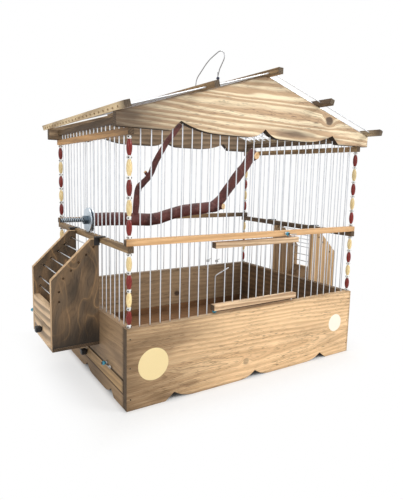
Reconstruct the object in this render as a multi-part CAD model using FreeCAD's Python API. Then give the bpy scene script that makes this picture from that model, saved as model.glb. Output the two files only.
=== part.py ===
import FreeCAD, Part
import math
import os

os.makedirs("parts", exist_ok=True)

# A handmade wooden bird cage: a scalloped box base with a sliding tray, pierced rails that hold
# upright wires, a low gabled roof of battens and wires, a wire-hinged front door, two hooked-on
# feeder boxes with drawers, beaded corner posts, a carrying bail and a forked natural perch.
# Millimetres, +X to the right along the front, +Y to the back, +Z up.
# The origin is the middle of the base's footprint on the surface that it stands on.

# Base box
base_length = 350.0
base_depth = 257.0
base_height = 91.0
board = 9.0

# Scalloped lower edges: foot length, run of the cut beside it, rise of the notches, reach of the curves
base_foot = 47.0
base_cut_run = 11.0
base_notch_rise = 8.5
base_curve_run = 27.0
base_middle_run = 24.0
end_foot = 28.0
end_cut_run = 8.0
end_notch_rise = 8.0
end_curve_run = 20.0
end_middle_run = 20.0

# Tray, its slot in the left end and its runners
slot_bottom = 16.5
slot_top = 32.6
tray_clearance = 0.4
tray_top_gap = 1.5
tray_side_clearance = 1.0
tray_floor_thickness = 4.0
tray_rim_height = 9.5
tray_rim_thickness = 4.0
tray_back_gap = 2.0
runner_width = 8.0
runner_height = 6.0
runner_clearance = 0.3

# Sticks and wires of the walls
stick = 7.0
wire_diameter = 2.0
wire_hole_clearance = 0.3
wire_sides = 6
hole_sides = 4
front_spaces = 28
side_spaces = 19
wire_seat_depth = 9.0
wire_short_seat = 5.0
mid_rail_level = 178.4
top_rail_level = 290.6
eave_strip_gap = 6.4

# Gables and roof
gable_overhang = 11.8
gable_proud = 1.4
gable_end_height = 14.3
gable_rise = 70.2
gable_foot = 60.0
gable_cut_run = 12.0
gable_notch_rise = 10.5
gable_curve_run = 50.0
gable_middle_run = 25.0
batten_overhang = 24.0
mid_batten_offset = 85.0
roof_wire_proud = 0.5
roof_wire_ridge_seat = 2.5
roof_overhang_wires = 1

# Beads on the corner posts
bead_diameter = 6.2
bead_end_diameter = 3.4
spacer_diameter = 5.2
spacer_length = 4.0
upper_bead_count = 5
lower_bead_count = 4
bead_sides = 8

# Front door, its latch and the catch above it
door_spaces = 10
door_lower_gap = 4.0
door_upper_gap = 2.1
door_stick_depth = 8.0
door_end_margin = 4.5
pivot_clearance = 0.06
latch_wire_diameter = 1.6
latch_wire_gap = 0.35
latch_height = 34.0
latch_spur_reach = 19.0
latch_spur_rise = 8.0
latch_bead_diameter = 5.2
latch_bead_height = 3.2
catch_x = 41.5
catch_tail = 18.0
catch_wire_diameter = 1.4
catch_coil_length = 2.7
catch_air = 0.1
nail_diameter = 1.6
nail_seat_depth = 5.0
nail_head_diameter = 3.0
nail_head_thickness = 0.8
nail_bead_diameter = 5.0
nail_bead_length = 3.6
tray_latch_y = -73.0
tray_latch_rise = 3.1
tray_latch_tail = 14.5
tray_latch_eye = 1.6

# Feeder boxes
feeder_half_width = 47.0
feeder_depth = 55.2
feeder_bottom = 52.5
feeder_top = 176.0
feeder_knee = 132.0
feeder_top_flat = 9.5
feeder_panel = 7.0
feeder_floor_thickness = 4.0
feeder_front_top = 97.0
feeder_front_bottom = 74.0
feeder_bar_inset = 8.5
feeder_slope_bars = 5
feeder_front_bars = 2
feeder_bar_first = 4.0
feeder_bar_pitch = 12.2
feeder_front_bar_rise = 10.0
feeder_front_bar_pitch = 11.5
feeder_bar_recess = 1.2
drawer_clearance = 0.4
drawer_wall = 3.0
drawer_wall_height = 12.0
drawer_back_gap = 1.5
hanger_thickness = 1.2
hanger_width = 7.0
hanger_drop = 9.5
hanger_reach = 6.0
lock_pin_diameter = 2.0
lock_pin_drop = 5.0
lock_bead_diameter = 5.0
lock_bead_length = 4.0
lock_travel = 4.0
lock_stand = 13.0

# Cube knobs
knob_size = 9.0
knob_neck_diameter = 5.0
knob_neck_length = 1.5
knob_chamfer = 0.8

# Carrying bail on the ridge
bail_wire_diameter = 1.8
bail_rear_eye = 36.5
bail_front_eye = -21.5
bail_eye_wall = 1.3
bail_eye_length = 2.4
bail_eye_shank_diameter = 1.8
bail_eye_shank_depth = 5.0
bail_trunnion = 2.6
bail_leg_lean = 3.1
bail_leg_rise = 13.8
bail_shoulder_run = 37.7
bail_shoulder_rise = 33.6
bail_crown_run = 9.0
bail_crown_rise = 41.5
bail_nose_run = 19.1
bail_nose_rise = 35.4
bail_chin_run = 18.1
bail_chin_rise = 28.4
bail_throat_run = 8.1
bail_throat_rise = 17.4
bail_neck_rise = 9.0
bail_bead_diameter = 4.6
bail_bead_height = 3.6
bail_bead_rise = 5.6

# Perch and the hardware that clamps it to the left wall
perch_z = 194.0
perch_reach = 254.0
trunk_radius = 8.5
limb_sides = 8
bolt_diameter = 6.0
bolt_thread_out = 33.0
bolt_in_trunk = 20.0
bolt_hole_clearance = 0.4
washer_diameter = 30.0
washer_thickness = 1.6
washer_sides = 16
nut_across_flats = 10.0
nut_thickness = 5.0

# Sizes that follow from the ones above
half_length = base_length / 2
half_depth = base_depth / 2
inner_depth = half_depth - board
wire_radius = wire_diameter / 2
wire_x = half_length - board / 2
wire_y = half_depth - board / 2
front_pitch = 2 * wire_x / front_spaces
side_pitch = 2 * wire_y / side_spaces
rail_hole = wire_diameter / math.cos(math.pi / wire_sides) + wire_hole_clearance
gable_bottom = top_rail_level + stick
gable_front = half_depth + gable_proud
gable_back = gable_front - board
gable_half = half_length + gable_overhang
eave_level = gable_bottom + gable_end_height
ridge_seat = gable_bottom + gable_rise
ridge_half = stick / 2
roof_run = gable_half - ridge_half
roof_angle = math.atan2(ridge_seat - eave_level, roof_run)
batten_half = half_depth + batten_overhang
front_rail_top = mid_rail_level + stick
ridge_top = ridge_seat + stick


def vec(x, y, z):
    return FreeCAD.Vector(x, y, z)


def box(x0, x1, y0, y1, z0, z1):
    low = vec(min(x0, x1), min(y0, y1), min(z0, z1))
    return Part.makeBox(abs(x1 - x0), abs(y1 - y0), abs(z1 - z0), low)


def rod(start, end, diameter):
    along = end - start
    return Part.makeCylinder(diameter / 2, along.Length, start, along)


def ring(centre, along, diameter, sides):
    # Corners of a regular polygon square to a direction, its flats on the given diameter.
    turn = FreeCAD.Rotation(vec(0, 0, 1), along)
    corner = diameter / 2 / math.cos(math.pi / sides)
    points = []
    for i in range(sides):
        angle = 2 * math.pi * (i + 0.5) / sides
        points.append(centre + turn.multVec(vec(corner * math.cos(angle), corner * math.sin(angle), 0)))
    return points


def outline(points):
    return Part.makePolygon(points + points[:1])


def section(centre, along, diameter, sides):
    return outline(ring(centre, along, diameter, sides))


def strand(start, end, diameter, sides=wire_sides):
    along = end - start
    return Part.Face(section(start, along, diameter, sides)).extrude(along)


def faceted(rings):
    # A solid of flat faces over parallel rings that have their corners in line.
    faces = [Part.Face(outline(rings[0])), Part.Face(outline(rings[-1]))]
    for lower, upper in zip(rings, rings[1:]):
        for i in range(len(lower)):
            faces.append(Part.Face(outline([lower[i - 1], lower[i], upper[i], upper[i - 1]])))
    shell = Part.makeShell(faces)
    shell.sewShape()
    solid = Part.makeSolid(shell)
    if solid.Volume < 0:
        solid.reverse()
    return solid


def mirrored_x(shape):
    return shape.mirror(vec(0, 0, 0), vec(1, 0, 0))


def save(name, solids):
    shape = solids[0] if len(solids) == 1 else Part.makeCompound(solids)
    shape.exportStep("parts/" + name + ".step")


def polygon_prism(points, extrude):
    return Part.Face(outline(points)).extrude(extrude)


# Wood: boards and sticks


def quarter_bow(tip, flat):
    # An arc that leaves the notch tip and runs out level at the flat part of the scallop.
    run = abs(flat.x - tip.x)
    rise = tip.z - flat.z
    radius = (run * run + rise * rise) / (2 * rise)
    half_turn = math.atan2(run, radius - rise) / 2
    side = 1 if tip.x > flat.x else -1
    middle = vec(flat.x + side * radius * math.sin(half_turn), flat.y,
                 flat.z + radius * (1 - math.cos(half_turn)))
    return Part.Arc(tip, middle, flat).toShape()


def scalloped_edge(half, foot, cut_run, rise, curve_run, middle_run):
    # Lower edge from the left foot to the right one: foot, cut, scallop, notch, scallop, cut, foot.
    outer = half - foot
    tip = outer - cut_run
    edges = []
    left_foot = vec(-half, 0, 0)
    left_cut = vec(-outer, 0, 0)
    left_tip = vec(-tip, 0, rise)
    edges.append(Part.makeLine(left_foot, left_cut))
    edges.append(Part.makeLine(left_cut, left_tip))
    middle_tip = vec(0, 0, rise)
    right_tip = vec(tip, 0, rise)
    for start, end, run_in, run_out in ((left_tip, middle_tip, curve_run, middle_run),
                                        (middle_tip, right_tip, middle_run, curve_run)):
        flat_start = vec(start.x + run_in, 0, 0)
        flat_end = vec(end.x - run_out, 0, 0)
        edges.append(quarter_bow(start, flat_start))
        edges.append(Part.makeLine(flat_start, flat_end))
        edges.append(quarter_bow(end, flat_end))
    right_cut = vec(outer, 0, 0)
    edges.append(Part.makeLine(right_tip, right_cut))
    edges.append(Part.makeLine(right_cut, vec(half, 0, 0)))
    return edges


def scalloped_board(upper_points, lower_edges, thickness):
    # The board stands in the XZ plane, its front face at y = 0.
    edges = list(lower_edges)
    for start, end in zip(upper_points, upper_points[1:]):
        edges.append(Part.makeLine(start, end))
    border = Part.Wire(Part.__sortEdges__(edges))
    return Part.Face(border).extrude(vec(0, thickness, 0))


def long_board():
    edge = scalloped_edge(half_length, base_foot, base_cut_run, base_notch_rise, base_curve_run,
                          base_middle_run)
    top = [vec(half_length, 0, 0), vec(half_length, 0, base_height), vec(-half_length, 0, base_height),
           vec(-half_length, 0, 0)]
    return scalloped_board(top, edge, board)


def end_panel(height):
    # A scalloped board between the long boards, laid along Y with its outer face at x = 0.
    edge = scalloped_edge(inner_depth, end_foot, end_cut_run, end_notch_rise, end_curve_run,
                          end_middle_run)
    top = [vec(inner_depth, 0, 0), vec(inner_depth, 0, height), vec(-inner_depth, 0, height),
           vec(-inner_depth, 0, 0)]
    panel = scalloped_board(top, edge, board)
    panel.rotate(vec(0, 0, 0), vec(0, 0, 1), -90)
    return panel


def make_base():
    front = long_board()
    front.translate(vec(0, -half_depth, 0))
    back = long_board()
    back.translate(vec(0, inner_depth, 0))
    save("base_front_board", [front])
    save("base_back_board", [back])
    upper = box(-half_length, -half_length + board, -inner_depth, inner_depth, slot_top, base_height)
    save("left_end_board", [upper])
    apron = end_panel(slot_bottom)
    apron.translate(vec(-half_length, 0, 0))
    save("left_apron", [apron])
    right = end_panel(base_height)
    right.translate(vec(half_length - board, 0, 0))
    save("right_end_board", [right])
    runner_top = slot_bottom + tray_clearance - runner_clearance
    runners = []
    for side in (-1, 1):
        runners.append(box(-half_length + board, half_length - board, side * inner_depth,
                           side * (inner_depth - runner_width), runner_top - runner_height, runner_top))
    save("tray_runners", runners)


# The door takes the place of the middle wires and turns on the one at its right.
door_first_wire = (front_spaces - door_spaces) // 2
door_hinge_wire = door_first_wire + door_spaces


def front_wire_x(index):
    return -wire_x + index * front_pitch


def side_wire_y(index):
    return -wire_y + index * side_pitch


def pierced(rail, centres, depth):
    # Small square holes, a little wider than the wires across their corners.
    return rail.cut([strand(centre, centre + depth, rail_hole, hole_sides) for centre in centres])


def make_rails():
    # Front and back rails lie across the ends of the side rails; every wire passes through its rail.
    for name, y in (("front_mid_rail", -wire_y), ("back_mid_rail", wire_y)):
        rail = box(-half_length, half_length, y - stick / 2, y + stick / 2, mid_rail_level, front_rail_top)
        holes = [vec(front_wire_x(i), y, mid_rail_level) for i in range(front_spaces + 1)]
        save(name, [pierced(rail, holes, vec(0, 0, stick))])
    for name, level in (("side_mid_rails", mid_rail_level - stick), ("side_top_rails", top_rail_level)):
        rails = []
        for x in (-wire_x, wire_x):
            rail = box(x - stick / 2, x + stick / 2, -half_depth, half_depth, level, level + stick)
            holes = [vec(x, side_wire_y(i), level) for i in range(side_spaces + 1)]
            rails.append(pierced(rail, holes, vec(0, 0, stick)))
        save(name, rails)


def roof_height(x):
    # Height of the gables' sloping edge at a distance from the middle.
    return ridge_seat - (abs(x) - ridge_half) * math.tan(roof_angle)


eave_strip_bottom = gable_bottom + eave_strip_gap


def make_eave_strips():
    strips = []
    for x in (-wire_x, wire_x):
        strips.append(box(x - stick / 2, x + stick / 2, -gable_back, gable_back, eave_strip_bottom,
                          eave_strip_bottom + stick))
    save("eave_strips", strips)


def make_gables():
    edge = scalloped_edge(gable_half, gable_foot, gable_cut_run, gable_notch_rise, gable_curve_run,
                          gable_middle_run)
    end = gable_end_height
    seat = gable_rise
    top = [vec(gable_half, 0, 0), vec(gable_half, 0, end), vec(ridge_half, 0, seat),
           vec(-ridge_half, 0, seat), vec(-gable_half, 0, end), vec(-gable_half, 0, 0)]
    for name, y in (("front_gable", -gable_front), ("rear_gable", gable_back)):
        gable = scalloped_board(top, edge, board)
        gable.translate(vec(0, y, gable_bottom))
        save(name, [gable])


def slope_batten(distance):
    # A stick lying flat on the right-hand slope, the middle of its underside at this distance out.
    batten = box(-stick / 2, stick / 2, -batten_half, batten_half, 0, stick)
    batten.rotate(vec(0, 0, 0), vec(0, 1, 0), math.degrees(roof_angle))
    batten.translate(vec(distance, 0, roof_height(distance)))
    return batten


eave_batten_offset = gable_half - stick / 2 * math.cos(roof_angle)


def make_battens():
    ridge = box(-ridge_half, ridge_half, -batten_half, batten_half, ridge_seat, ridge_top)
    save("ridge_batten", [ridge])
    for name, distance in (("mid_battens", mid_batten_offset), ("eave_battens", eave_batten_offset)):
        right = slope_batten(distance)
        save(name, [mirrored_x(right), right])


# Wires


def make_front_and_back_wires():
    first_short = door_first_wire
    last_short = door_hinge_wire
    bottom = base_height - wire_seat_depth
    top = gable_bottom + gable_notch_rise + wire_short_seat
    front = []
    back = []
    for i in range(1, front_spaces):
        x = front_wire_x(i)
        start = mid_rail_level if first_short <= i < last_short else bottom
        if i != last_short:
            front.append(strand(vec(x, -wire_y, start), vec(x, -wire_y, top), wire_diameter))
        back.append(strand(vec(x, wire_y, bottom), vec(x, wire_y, top), wire_diameter))
    save("front_wires", front)
    save("back_wires", back)
    hinge = front_wire_x(door_hinge_wire)
    save("door_hinge_wire", [rod(vec(hinge, -wire_y, bottom), vec(hinge, -wire_y, top), wire_diameter)])


def make_side_wires():
    bottom = base_height - wire_seat_depth
    top = eave_strip_bottom + wire_short_seat
    clear_half = feeder_half_width - feeder_panel
    for name, x in (("left_wires", -wire_x), ("right_wires", wire_x)):
        wires = []
        for i in range(1, side_spaces):
            y = side_wire_y(i)
            start = mid_rail_level - stick if abs(y) < clear_half else bottom
            wires.append(strand(vec(x, y, start), vec(x, y, top), wire_diameter))
        save(name, wires)


def make_corner_wires():
    wires = []
    for x in (-wire_x, wire_x):
        for y in (-wire_y, wire_y):
            low = vec(x, y, base_height - wire_seat_depth)
            wires.append(strand(low, vec(x, y, gable_bottom), wire_diameter))
    save("corner_wires", wires)


def make_roof_wires():
    # Each wire runs up the slope through the middle of the eave and mid battens into the ridge.
    lift = stick / 2
    slope = vec(math.cos(roof_angle), 0, -math.sin(roof_angle))
    normal = vec(math.sin(roof_angle), 0, math.cos(roof_angle))
    ridge_point = vec(ridge_half, 0, ridge_seat) + normal * lift
    seat_back = (ridge_point.x - ridge_half + roof_wire_ridge_seat) / math.cos(roof_angle)
    eave_along = (eave_batten_offset - ridge_half) / math.cos(roof_angle)
    start = ridge_point - slope * seat_back
    end = ridge_point + slope * (eave_along + stick / 2 + roof_wire_proud)
    right = []
    for i in range(-roof_overhang_wires, side_spaces + 1 + roof_overhang_wires):
        shift = vec(0, side_wire_y(i), 0)
        right.append(strand(start + shift, end + shift, wire_diameter))
    save("right_roof_wires", right)
    save("left_roof_wires", [mirrored_x(wire) for wire in right])


# Beads on the corner posts


def bead(centre, axis, diameter, end_diameter, length):
    # A bead that swells in the middle, centred on its string.
    half = FreeCAD.Vector(axis).normalize() * (length / 2)
    return faceted([ring(centre - half, axis, end_diameter, bead_sides),
                    ring(centre, axis, diameter, bead_sides),
                    ring(centre + half, axis, end_diameter, bead_sides)])


def make_beads():
    red = []
    cream = []
    spacers = []
    upright = vec(0, 0, 1)
    spans = ((front_rail_top, top_rail_level, upper_bead_count, 0),
             (base_height, mid_rail_level - stick, lower_bead_count, 1))
    for x in (-wire_x, wire_x):
        for y in (-wire_y, wire_y):
            for low, high, count, cream_first in spans:
                length = (high - low - (count + 1) * spacer_length) / count
                level = high
                for i in range(count + 1):
                    spacers.append(strand(vec(x, y, level - spacer_length), vec(x, y, level),
                                          spacer_diameter))
                    level -= spacer_length
                    if i == count:
                        break
                    level -= length
                    group = cream if (i + cream_first) % 2 else red
                    centre = vec(x, y, level + length / 2)
                    group.append(bead(centre, upright, bead_diameter, bead_end_diameter, length))
    save("red_beads", red)
    save("cream_beads", cream)
    save("spacer_beads", spacers)


# Front door

door_half = door_spaces * front_pitch / 2 + door_end_margin
door_front = -wire_y - door_stick_depth / 2
door_back = -wire_y + door_stick_depth / 2
door_low = base_height + door_lower_gap
door_high = mid_rail_level - door_upper_gap
door_lower_top = door_low + stick
door_upper_bottom = door_high - stick
latch_x = front_wire_x(door_first_wire)
latch_y = -wire_y + wire_radius + latch_wire_gap + latch_wire_diameter / 2


def pivot_hole(x, y, z0, z1, diameter):
    return rod(vec(x, y, z0), vec(x, y, z1), diameter + 2 * pivot_clearance)


def make_door():
    hinge = front_wire_x(door_hinge_wire)
    lower = box(-door_half, door_half, door_front, door_back, door_low, door_lower_top)
    upper = box(-door_half, door_half, door_front, door_back, door_upper_bottom, door_high)
    lower = lower.cut(pivot_hole(hinge, -wire_y, door_low, door_lower_top, wire_diameter))
    upper = upper.cut(pivot_hole(hinge, -wire_y, door_upper_bottom, door_high, wire_diameter))
    lower = lower.cut(pivot_hole(latch_x, latch_y, door_low, door_lower_top, latch_wire_diameter))
    save("door_lower_stick", [lower])
    save("door_upper_stick", [upper])
    wires = []
    for i in range(door_first_wire + 1, door_hinge_wire):
        x = front_wire_x(i)
        low = vec(x, -wire_y, door_lower_top - wire_short_seat)
        wires.append(strand(low, vec(x, -wire_y, door_upper_bottom + wire_short_seat), wire_diameter))
    save("door_wires", wires)


def swept(points, bends, diameter):
    # A wire along straight runs joined by tangent arcs, one bend radius for each inner point.
    edges = []
    start = points[0]
    for i, bend in enumerate(bends, 1):
        corner = points[i]
        back = (points[i - 1] - corner).normalize()
        ahead = (points[i + 1] - corner).normalize()
        half = back.getAngle(ahead) / 2
        reach = bend / math.tan(half)
        enter = corner + back * reach
        leave = corner + ahead * reach
        inward = (back + ahead).normalize()
        middle = corner + inward * (bend / math.sin(half) - bend)
        edges.append(Part.makeLine(start, enter))
        edges.append(Part.Arc(enter, middle, leave).toShape())
        start = leave
    edges.append(Part.makeLine(start, points[-1]))
    path = Part.Wire(edges)
    corner_diameter = diameter * math.cos(math.pi / wire_sides)
    profile = section(points[0], points[1] - points[0], corner_diameter, wire_sides)
    return path.makePipeShell([profile], True, False)


def grip_bead(centre, axis, diameter, length):
    return bead(centre, axis, diameter, diameter * 0.68, length)


def make_door_latch():
    # An upright wire turning in the lower stick: a bead grip below, a slanting spur on top.
    bead_low = base_height + (door_lower_gap - latch_bead_height) / 2
    bend = 2 * latch_wire_diameter
    knee = door_lower_top + latch_height
    points = [vec(latch_x, latch_y, bead_low), vec(latch_x, latch_y, knee),
              vec(latch_x + latch_spur_reach, latch_y, knee + latch_spur_rise)]
    wire = swept(points, [bend], latch_wire_diameter)
    centre = vec(latch_x, latch_y, bead_low + latch_bead_height / 2)
    grip = grip_bead(centre, vec(0, 0, 1), latch_bead_diameter, latch_bead_height)
    save("door_latch", [wire.fuse(grip)])


# Turning wire catches on nails: one on the front rail for the door, one on the left end for the tray

catch_z = mid_rail_level + stick / 2
catch_face = -wire_y - stick / 2
tray_latch_z = slot_top + tray_latch_rise


def catch_coil(length):
    # The wire's coil around its nail, its axis on Z, from z = 0.
    bore = nail_diameter / 2 + pivot_clearance
    outer = strand(vec(0, 0, 0), vec(0, 0, length), 2 * (bore + catch_wire_diameter), bead_sides)
    return outer, Part.makeCylinder(bore, length)


def nail_catch(tail, eye_radius):
    # Coil on the Z axis with a straight tail along X, ending in a ring where an eye radius is given.
    ring, bore = catch_coil(catch_coil_length)
    level = catch_coil_length - catch_wire_diameter / 2
    arm = strand(vec(nail_diameter / 2, 0, level), vec(tail, 0, level), catch_wire_diameter, bead_sides)
    shape = ring.fuse(arm)
    if eye_radius:
        low = vec(tail + eye_radius, 0, level - catch_wire_diameter / 2)
        high = low + vec(0, 0, catch_wire_diameter)
        shape = shape.fuse(strand(low, high, 2 * eye_radius + catch_wire_diameter, bead_sides))
        shape = shape.cut(strand(low, high, 2 * eye_radius - catch_wire_diameter, bead_sides))
    return shape.cut(bore)


def catch_nail():
    # Nail on the Z axis: shank from inside the wood out through coil and bead, with its head.
    bead_end = catch_air + catch_coil_length + catch_air + nail_bead_length
    shank = rod(vec(0, 0, -nail_seat_depth), vec(0, 0, bead_end), nail_diameter)
    head_end = vec(0, 0, bead_end + nail_head_thickness)
    head = strand(vec(0, 0, bead_end), head_end, nail_head_diameter, bead_sides)
    bead_middle = bead_end - nail_bead_length / 2
    grip = grip_bead(vec(0, 0, bead_middle), vec(0, 0, 1), nail_bead_diameter, nail_bead_length)
    return shank.fuse(head), grip


def face_front(shape, lift):
    # Turns a shape built outwards along Z to point out of the front rail, its X axis kept.
    shape = shape.copy()
    shape.translate(vec(0, 0, lift))
    shape.rotate(vec(0, 0, 0), vec(1, 0, 0), 90)
    shape.translate(vec(catch_x, catch_face, catch_z))
    return shape


def face_left(shape, lift):
    # Turns a shape built outwards along Z to point out of the left end, its X axis towards the front.
    shape = shape.copy()
    shape.translate(vec(0, 0, lift))
    shape.rotate(vec(0, 0, 0), vec(1, 0, 0), 90)
    shape.rotate(vec(0, 0, 0), vec(0, 0, 1), -90)
    shape.translate(vec(-half_length, tray_latch_y, tray_latch_z))
    return shape


def make_catches():
    nail, grip = catch_nail()
    save("latch_nails", [face_front(nail, 0), face_left(nail, 0)])
    save("latch_beads", [face_front(grip, 0), face_left(grip, 0)])
    save("door_catch", [face_front(nail_catch(catch_tail, 0), catch_air)])
    save("tray_latch", [face_left(nail_catch(tray_latch_tail, tray_latch_eye), catch_air)])


# Tray


def cube_knob():
    # Black cube knob on a short neck, pointing along -X from x = 0.
    half = knob_size / 2
    cube = box(-knob_neck_length - knob_size, -knob_neck_length, -half, half, -half, half)
    cube = cube.makeChamfer(knob_chamfer, cube.Edges)
    neck_end = vec(-knob_neck_length - knob_chamfer, 0, 0)
    neck = strand(vec(0, 0, 0), neck_end, knob_neck_diameter, bead_sides)
    return cube.fuse(neck)


tray_low = slot_bottom + tray_clearance
tray_front_high = slot_top - tray_top_gap
tray_half = inner_depth - tray_side_clearance


def make_tray():
    back = half_length - board - tray_back_gap
    front_face = -half_length
    front_inner = front_face + board
    floor_top = tray_low + tray_floor_thickness
    save("tray_front", [box(front_face, front_inner, -tray_half, tray_half, tray_low, tray_front_high)])
    save("tray_floor", [box(front_inner, back, -tray_half, tray_half, tray_low, floor_top)])
    rim_top = floor_top + tray_rim_height
    rims = [box(back - tray_rim_thickness, back, -tray_half, tray_half, floor_top, rim_top)]
    for side in (-1, 1):
        rims.append(box(front_inner, back - tray_rim_thickness, side * tray_half,
                        side * (tray_half - tray_rim_thickness), floor_top, rim_top))
    save("tray_rims", rims)
    knob = cube_knob()
    knob.translate(vec(front_face, 0, (tray_low + tray_front_high) / 2))
    save("tray_knob", [knob])


# Feeder boxes, built for the left end and mirrored for the right

feeder_out = -half_length - feeder_depth
feeder_slope = vec(-(feeder_depth - feeder_top_flat), 0, feeder_knee - feeder_top).normalize()
feeder_inward = vec(-feeder_slope.z, 0, feeder_slope.x)
feeder_inner_half = feeder_half_width - feeder_panel
drawer_low = feeder_bottom + drawer_clearance
drawer_high = feeder_front_bottom - drawer_clearance
lock_x = feeder_out + feeder_panel / 2
lock_z = drawer_high - lock_pin_drop


def feeder_bar_places():
    # Five bars under the slope, then the rest down behind the upright front edge.
    upper = vec(-half_length - feeder_top_flat, 0, feeder_top) + feeder_inward * feeder_bar_inset
    slope_places = []
    for i in range(feeder_slope_bars):
        slope_places.append(upper + feeder_slope * (feeder_bar_first + i * feeder_bar_pitch))
    front_places = []
    for i in range(feeder_front_bars):
        level = feeder_front_top + feeder_front_bar_rise + i * feeder_front_bar_pitch
        front_places.append(vec(feeder_out + feeder_bar_inset, 0, level))
    return slope_places + front_places


def lock_hole(y0, y1):
    bore = lock_pin_diameter + 2 * pivot_clearance
    return strand(vec(lock_x, y0, lock_z), vec(lock_x, y1, lock_z), bore, bead_sides)


def feeder_panels():
    corners = [vec(-half_length, 0, feeder_bottom), vec(-half_length, 0, feeder_top),
               vec(-half_length - feeder_top_flat, 0, feeder_top), vec(feeder_out, 0, feeder_knee),
               vec(feeder_out, 0, feeder_bottom)]
    across = vec(0, feeder_panel, 0)
    panel = polygon_prism(corners, across)
    panel = pierced(panel, feeder_bar_places(), across)
    near = panel.copy()
    near.translate(vec(0, -feeder_half_width, 0))
    far = panel.copy()
    far.translate(vec(0, feeder_inner_half, 0))
    far = far.cut(lock_hole(feeder_inner_half, feeder_half_width))
    return [near, far]


def feeder_bars():
    bars = []
    reach = feeder_half_width - feeder_bar_recess
    for place in feeder_bar_places():
        bars.append(strand(place - vec(0, reach, 0), place + vec(0, reach, 0), wire_diameter))
    return bars


def feeder_boards():
    inner = feeder_out + feeder_panel
    front = box(feeder_out, inner, -feeder_inner_half, feeder_inner_half, feeder_front_bottom,
                feeder_front_top)
    floor = box(feeder_out, -half_length, -feeder_half_width, feeder_half_width,
                feeder_bottom - feeder_floor_thickness, feeder_bottom)
    return [front, floor]


def feeder_hangers():
    # Angle brackets: one leg on the panel's outer face, the other over the top of the side rail.
    hangers = []
    rail_outer = -wire_x - stick / 2
    for side in (-1, 1):
        face = side * feeder_half_width
        outer = face + side * hanger_thickness
        leg = box(rail_outer - hanger_width, rail_outer - wire_hole_clearance, face, outer,
                  mid_rail_level - hanger_drop, mid_rail_level + hanger_thickness)
        cap = box(rail_outer - hanger_width, rail_outer + hanger_reach, face, face + side * hanger_width,
                  mid_rail_level, mid_rail_level + hanger_thickness)
        hangers.append(leg.fuse(cap).removeSplitter())
    return hangers


def drawer_parts():
    half = feeder_inner_half - drawer_clearance
    inner = feeder_out + feeder_panel
    back = -half_length - drawer_back_gap
    floor_top = drawer_low + drawer_wall
    wall_top = drawer_low + drawer_wall_height
    front = box(feeder_out, inner, -half, half, drawer_low, drawer_high)
    front = front.cut(lock_hole(half - 2 * lock_travel, half))
    floor = box(inner, back, -half, half, drawer_low, floor_top)
    rear = box(back - drawer_wall, back, -half, half, floor_top, wall_top)
    parts = [front, floor, rear]
    for side in (-1, 1):
        parts.append(box(inner, back - drawer_wall, side * half, side * (half - drawer_wall), floor_top,
                         wall_top))
    return parts


def lock_pin():
    # A pin through the far panel with a bead for a grip, drawn clear of the drawer front's end.
    tip = feeder_inner_half
    head = feeder_half_width + lock_travel + lock_stand
    pin = strand(vec(lock_x, tip, lock_z), vec(lock_x, head + lock_bead_length / 2, lock_z),
                 lock_pin_diameter, bead_sides)
    grip = grip_bead(vec(lock_x, head + lock_bead_length / 2, lock_z), vec(0, 1, 0), lock_bead_diameter,
                     lock_bead_length)
    return pin.fuse(grip)


def make_feeders():
    drawer_knob = cube_knob()
    drawer_knob.translate(vec(feeder_out, 0, (drawer_low + drawer_high) / 2))
    pieces = (("feeder_panels", feeder_panels()), ("feeder_boards", feeder_boards()),
              ("drawer", drawer_parts()), ("drawer_knob", [drawer_knob]), ("lock_pin", [lock_pin()]))
    for name, solids in pieces:
        save("left_" + name, solids)
        save("right_" + name, [mirrored_x(solid) for solid in solids])
    for name, solids in (("feeder_bars", feeder_bars()), ("feeder_hangers", feeder_hangers())):
        save(name, solids + [mirrored_x(solid) for solid in solids])


# Carrying bail

bail_bore = bail_wire_diameter / 2 + pivot_clearance
bail_axis = ridge_top + bail_bore + bail_eye_wall


def bail_eye(y):
    start = vec(0, y - bail_eye_length / 2, bail_axis)
    end = start + vec(0, bail_eye_length, 0)
    ring = strand(start, end, 2 * (bail_bore + bail_eye_wall), bead_sides)
    shank_end = vec(0, y, bail_axis - bail_bore)
    ring = ring.fuse(strand(vec(0, y, ridge_top - bail_eye_shank_depth), shank_end, bail_eye_shank_diameter))
    return ring.cut(rod(start, end, 2 * bail_bore))


def make_bail():
    # The loop leans forward: a long arched rear leg, a round nose past the front eye, a short neck.
    save("bail_eyes", [bail_eye(bail_rear_eye), bail_eye(bail_front_eye)])
    tight = 1.6 * bail_wire_diameter
    clear = bail_eye_length / 2 + tight + pivot_clearance
    front = bail_front_eye - clear - wire_hole_clearance
    rear = bail_rear_eye - clear
    points = [vec(0, bail_rear_eye + bail_trunnion, bail_axis), vec(0, rear, bail_axis),
              vec(0, rear - bail_leg_lean, bail_axis + bail_leg_rise),
              vec(0, bail_rear_eye - bail_shoulder_run, bail_axis + bail_shoulder_rise),
              vec(0, bail_front_eye - bail_crown_run, bail_axis + bail_crown_rise),
              vec(0, bail_front_eye - bail_nose_run, bail_axis + bail_nose_rise),
              vec(0, bail_front_eye - bail_chin_run, bail_axis + bail_chin_rise),
              vec(0, bail_front_eye - bail_throat_run, bail_axis + bail_throat_rise),
              vec(0, front, bail_axis + bail_neck_rise), vec(0, front, bail_axis),
              vec(0, bail_front_eye + bail_trunnion, bail_axis)]
    bends = [tight, 5 * tight, 26 * tight, 3.4 * tight, 2.3 * tight, 2.2 * tight, 3.4 * tight, 2 * tight, tight]
    loop = swept(points, bends, bail_wire_diameter)
    grip_centre = vec(0, front, bail_axis + bail_bead_rise)
    save("bail", [loop.fuse(grip_bead(grip_centre, vec(0, 0, 1), bail_bead_diameter, bail_bead_height))])


# Perch: a forked natural branch clamped to the left wall

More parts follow.
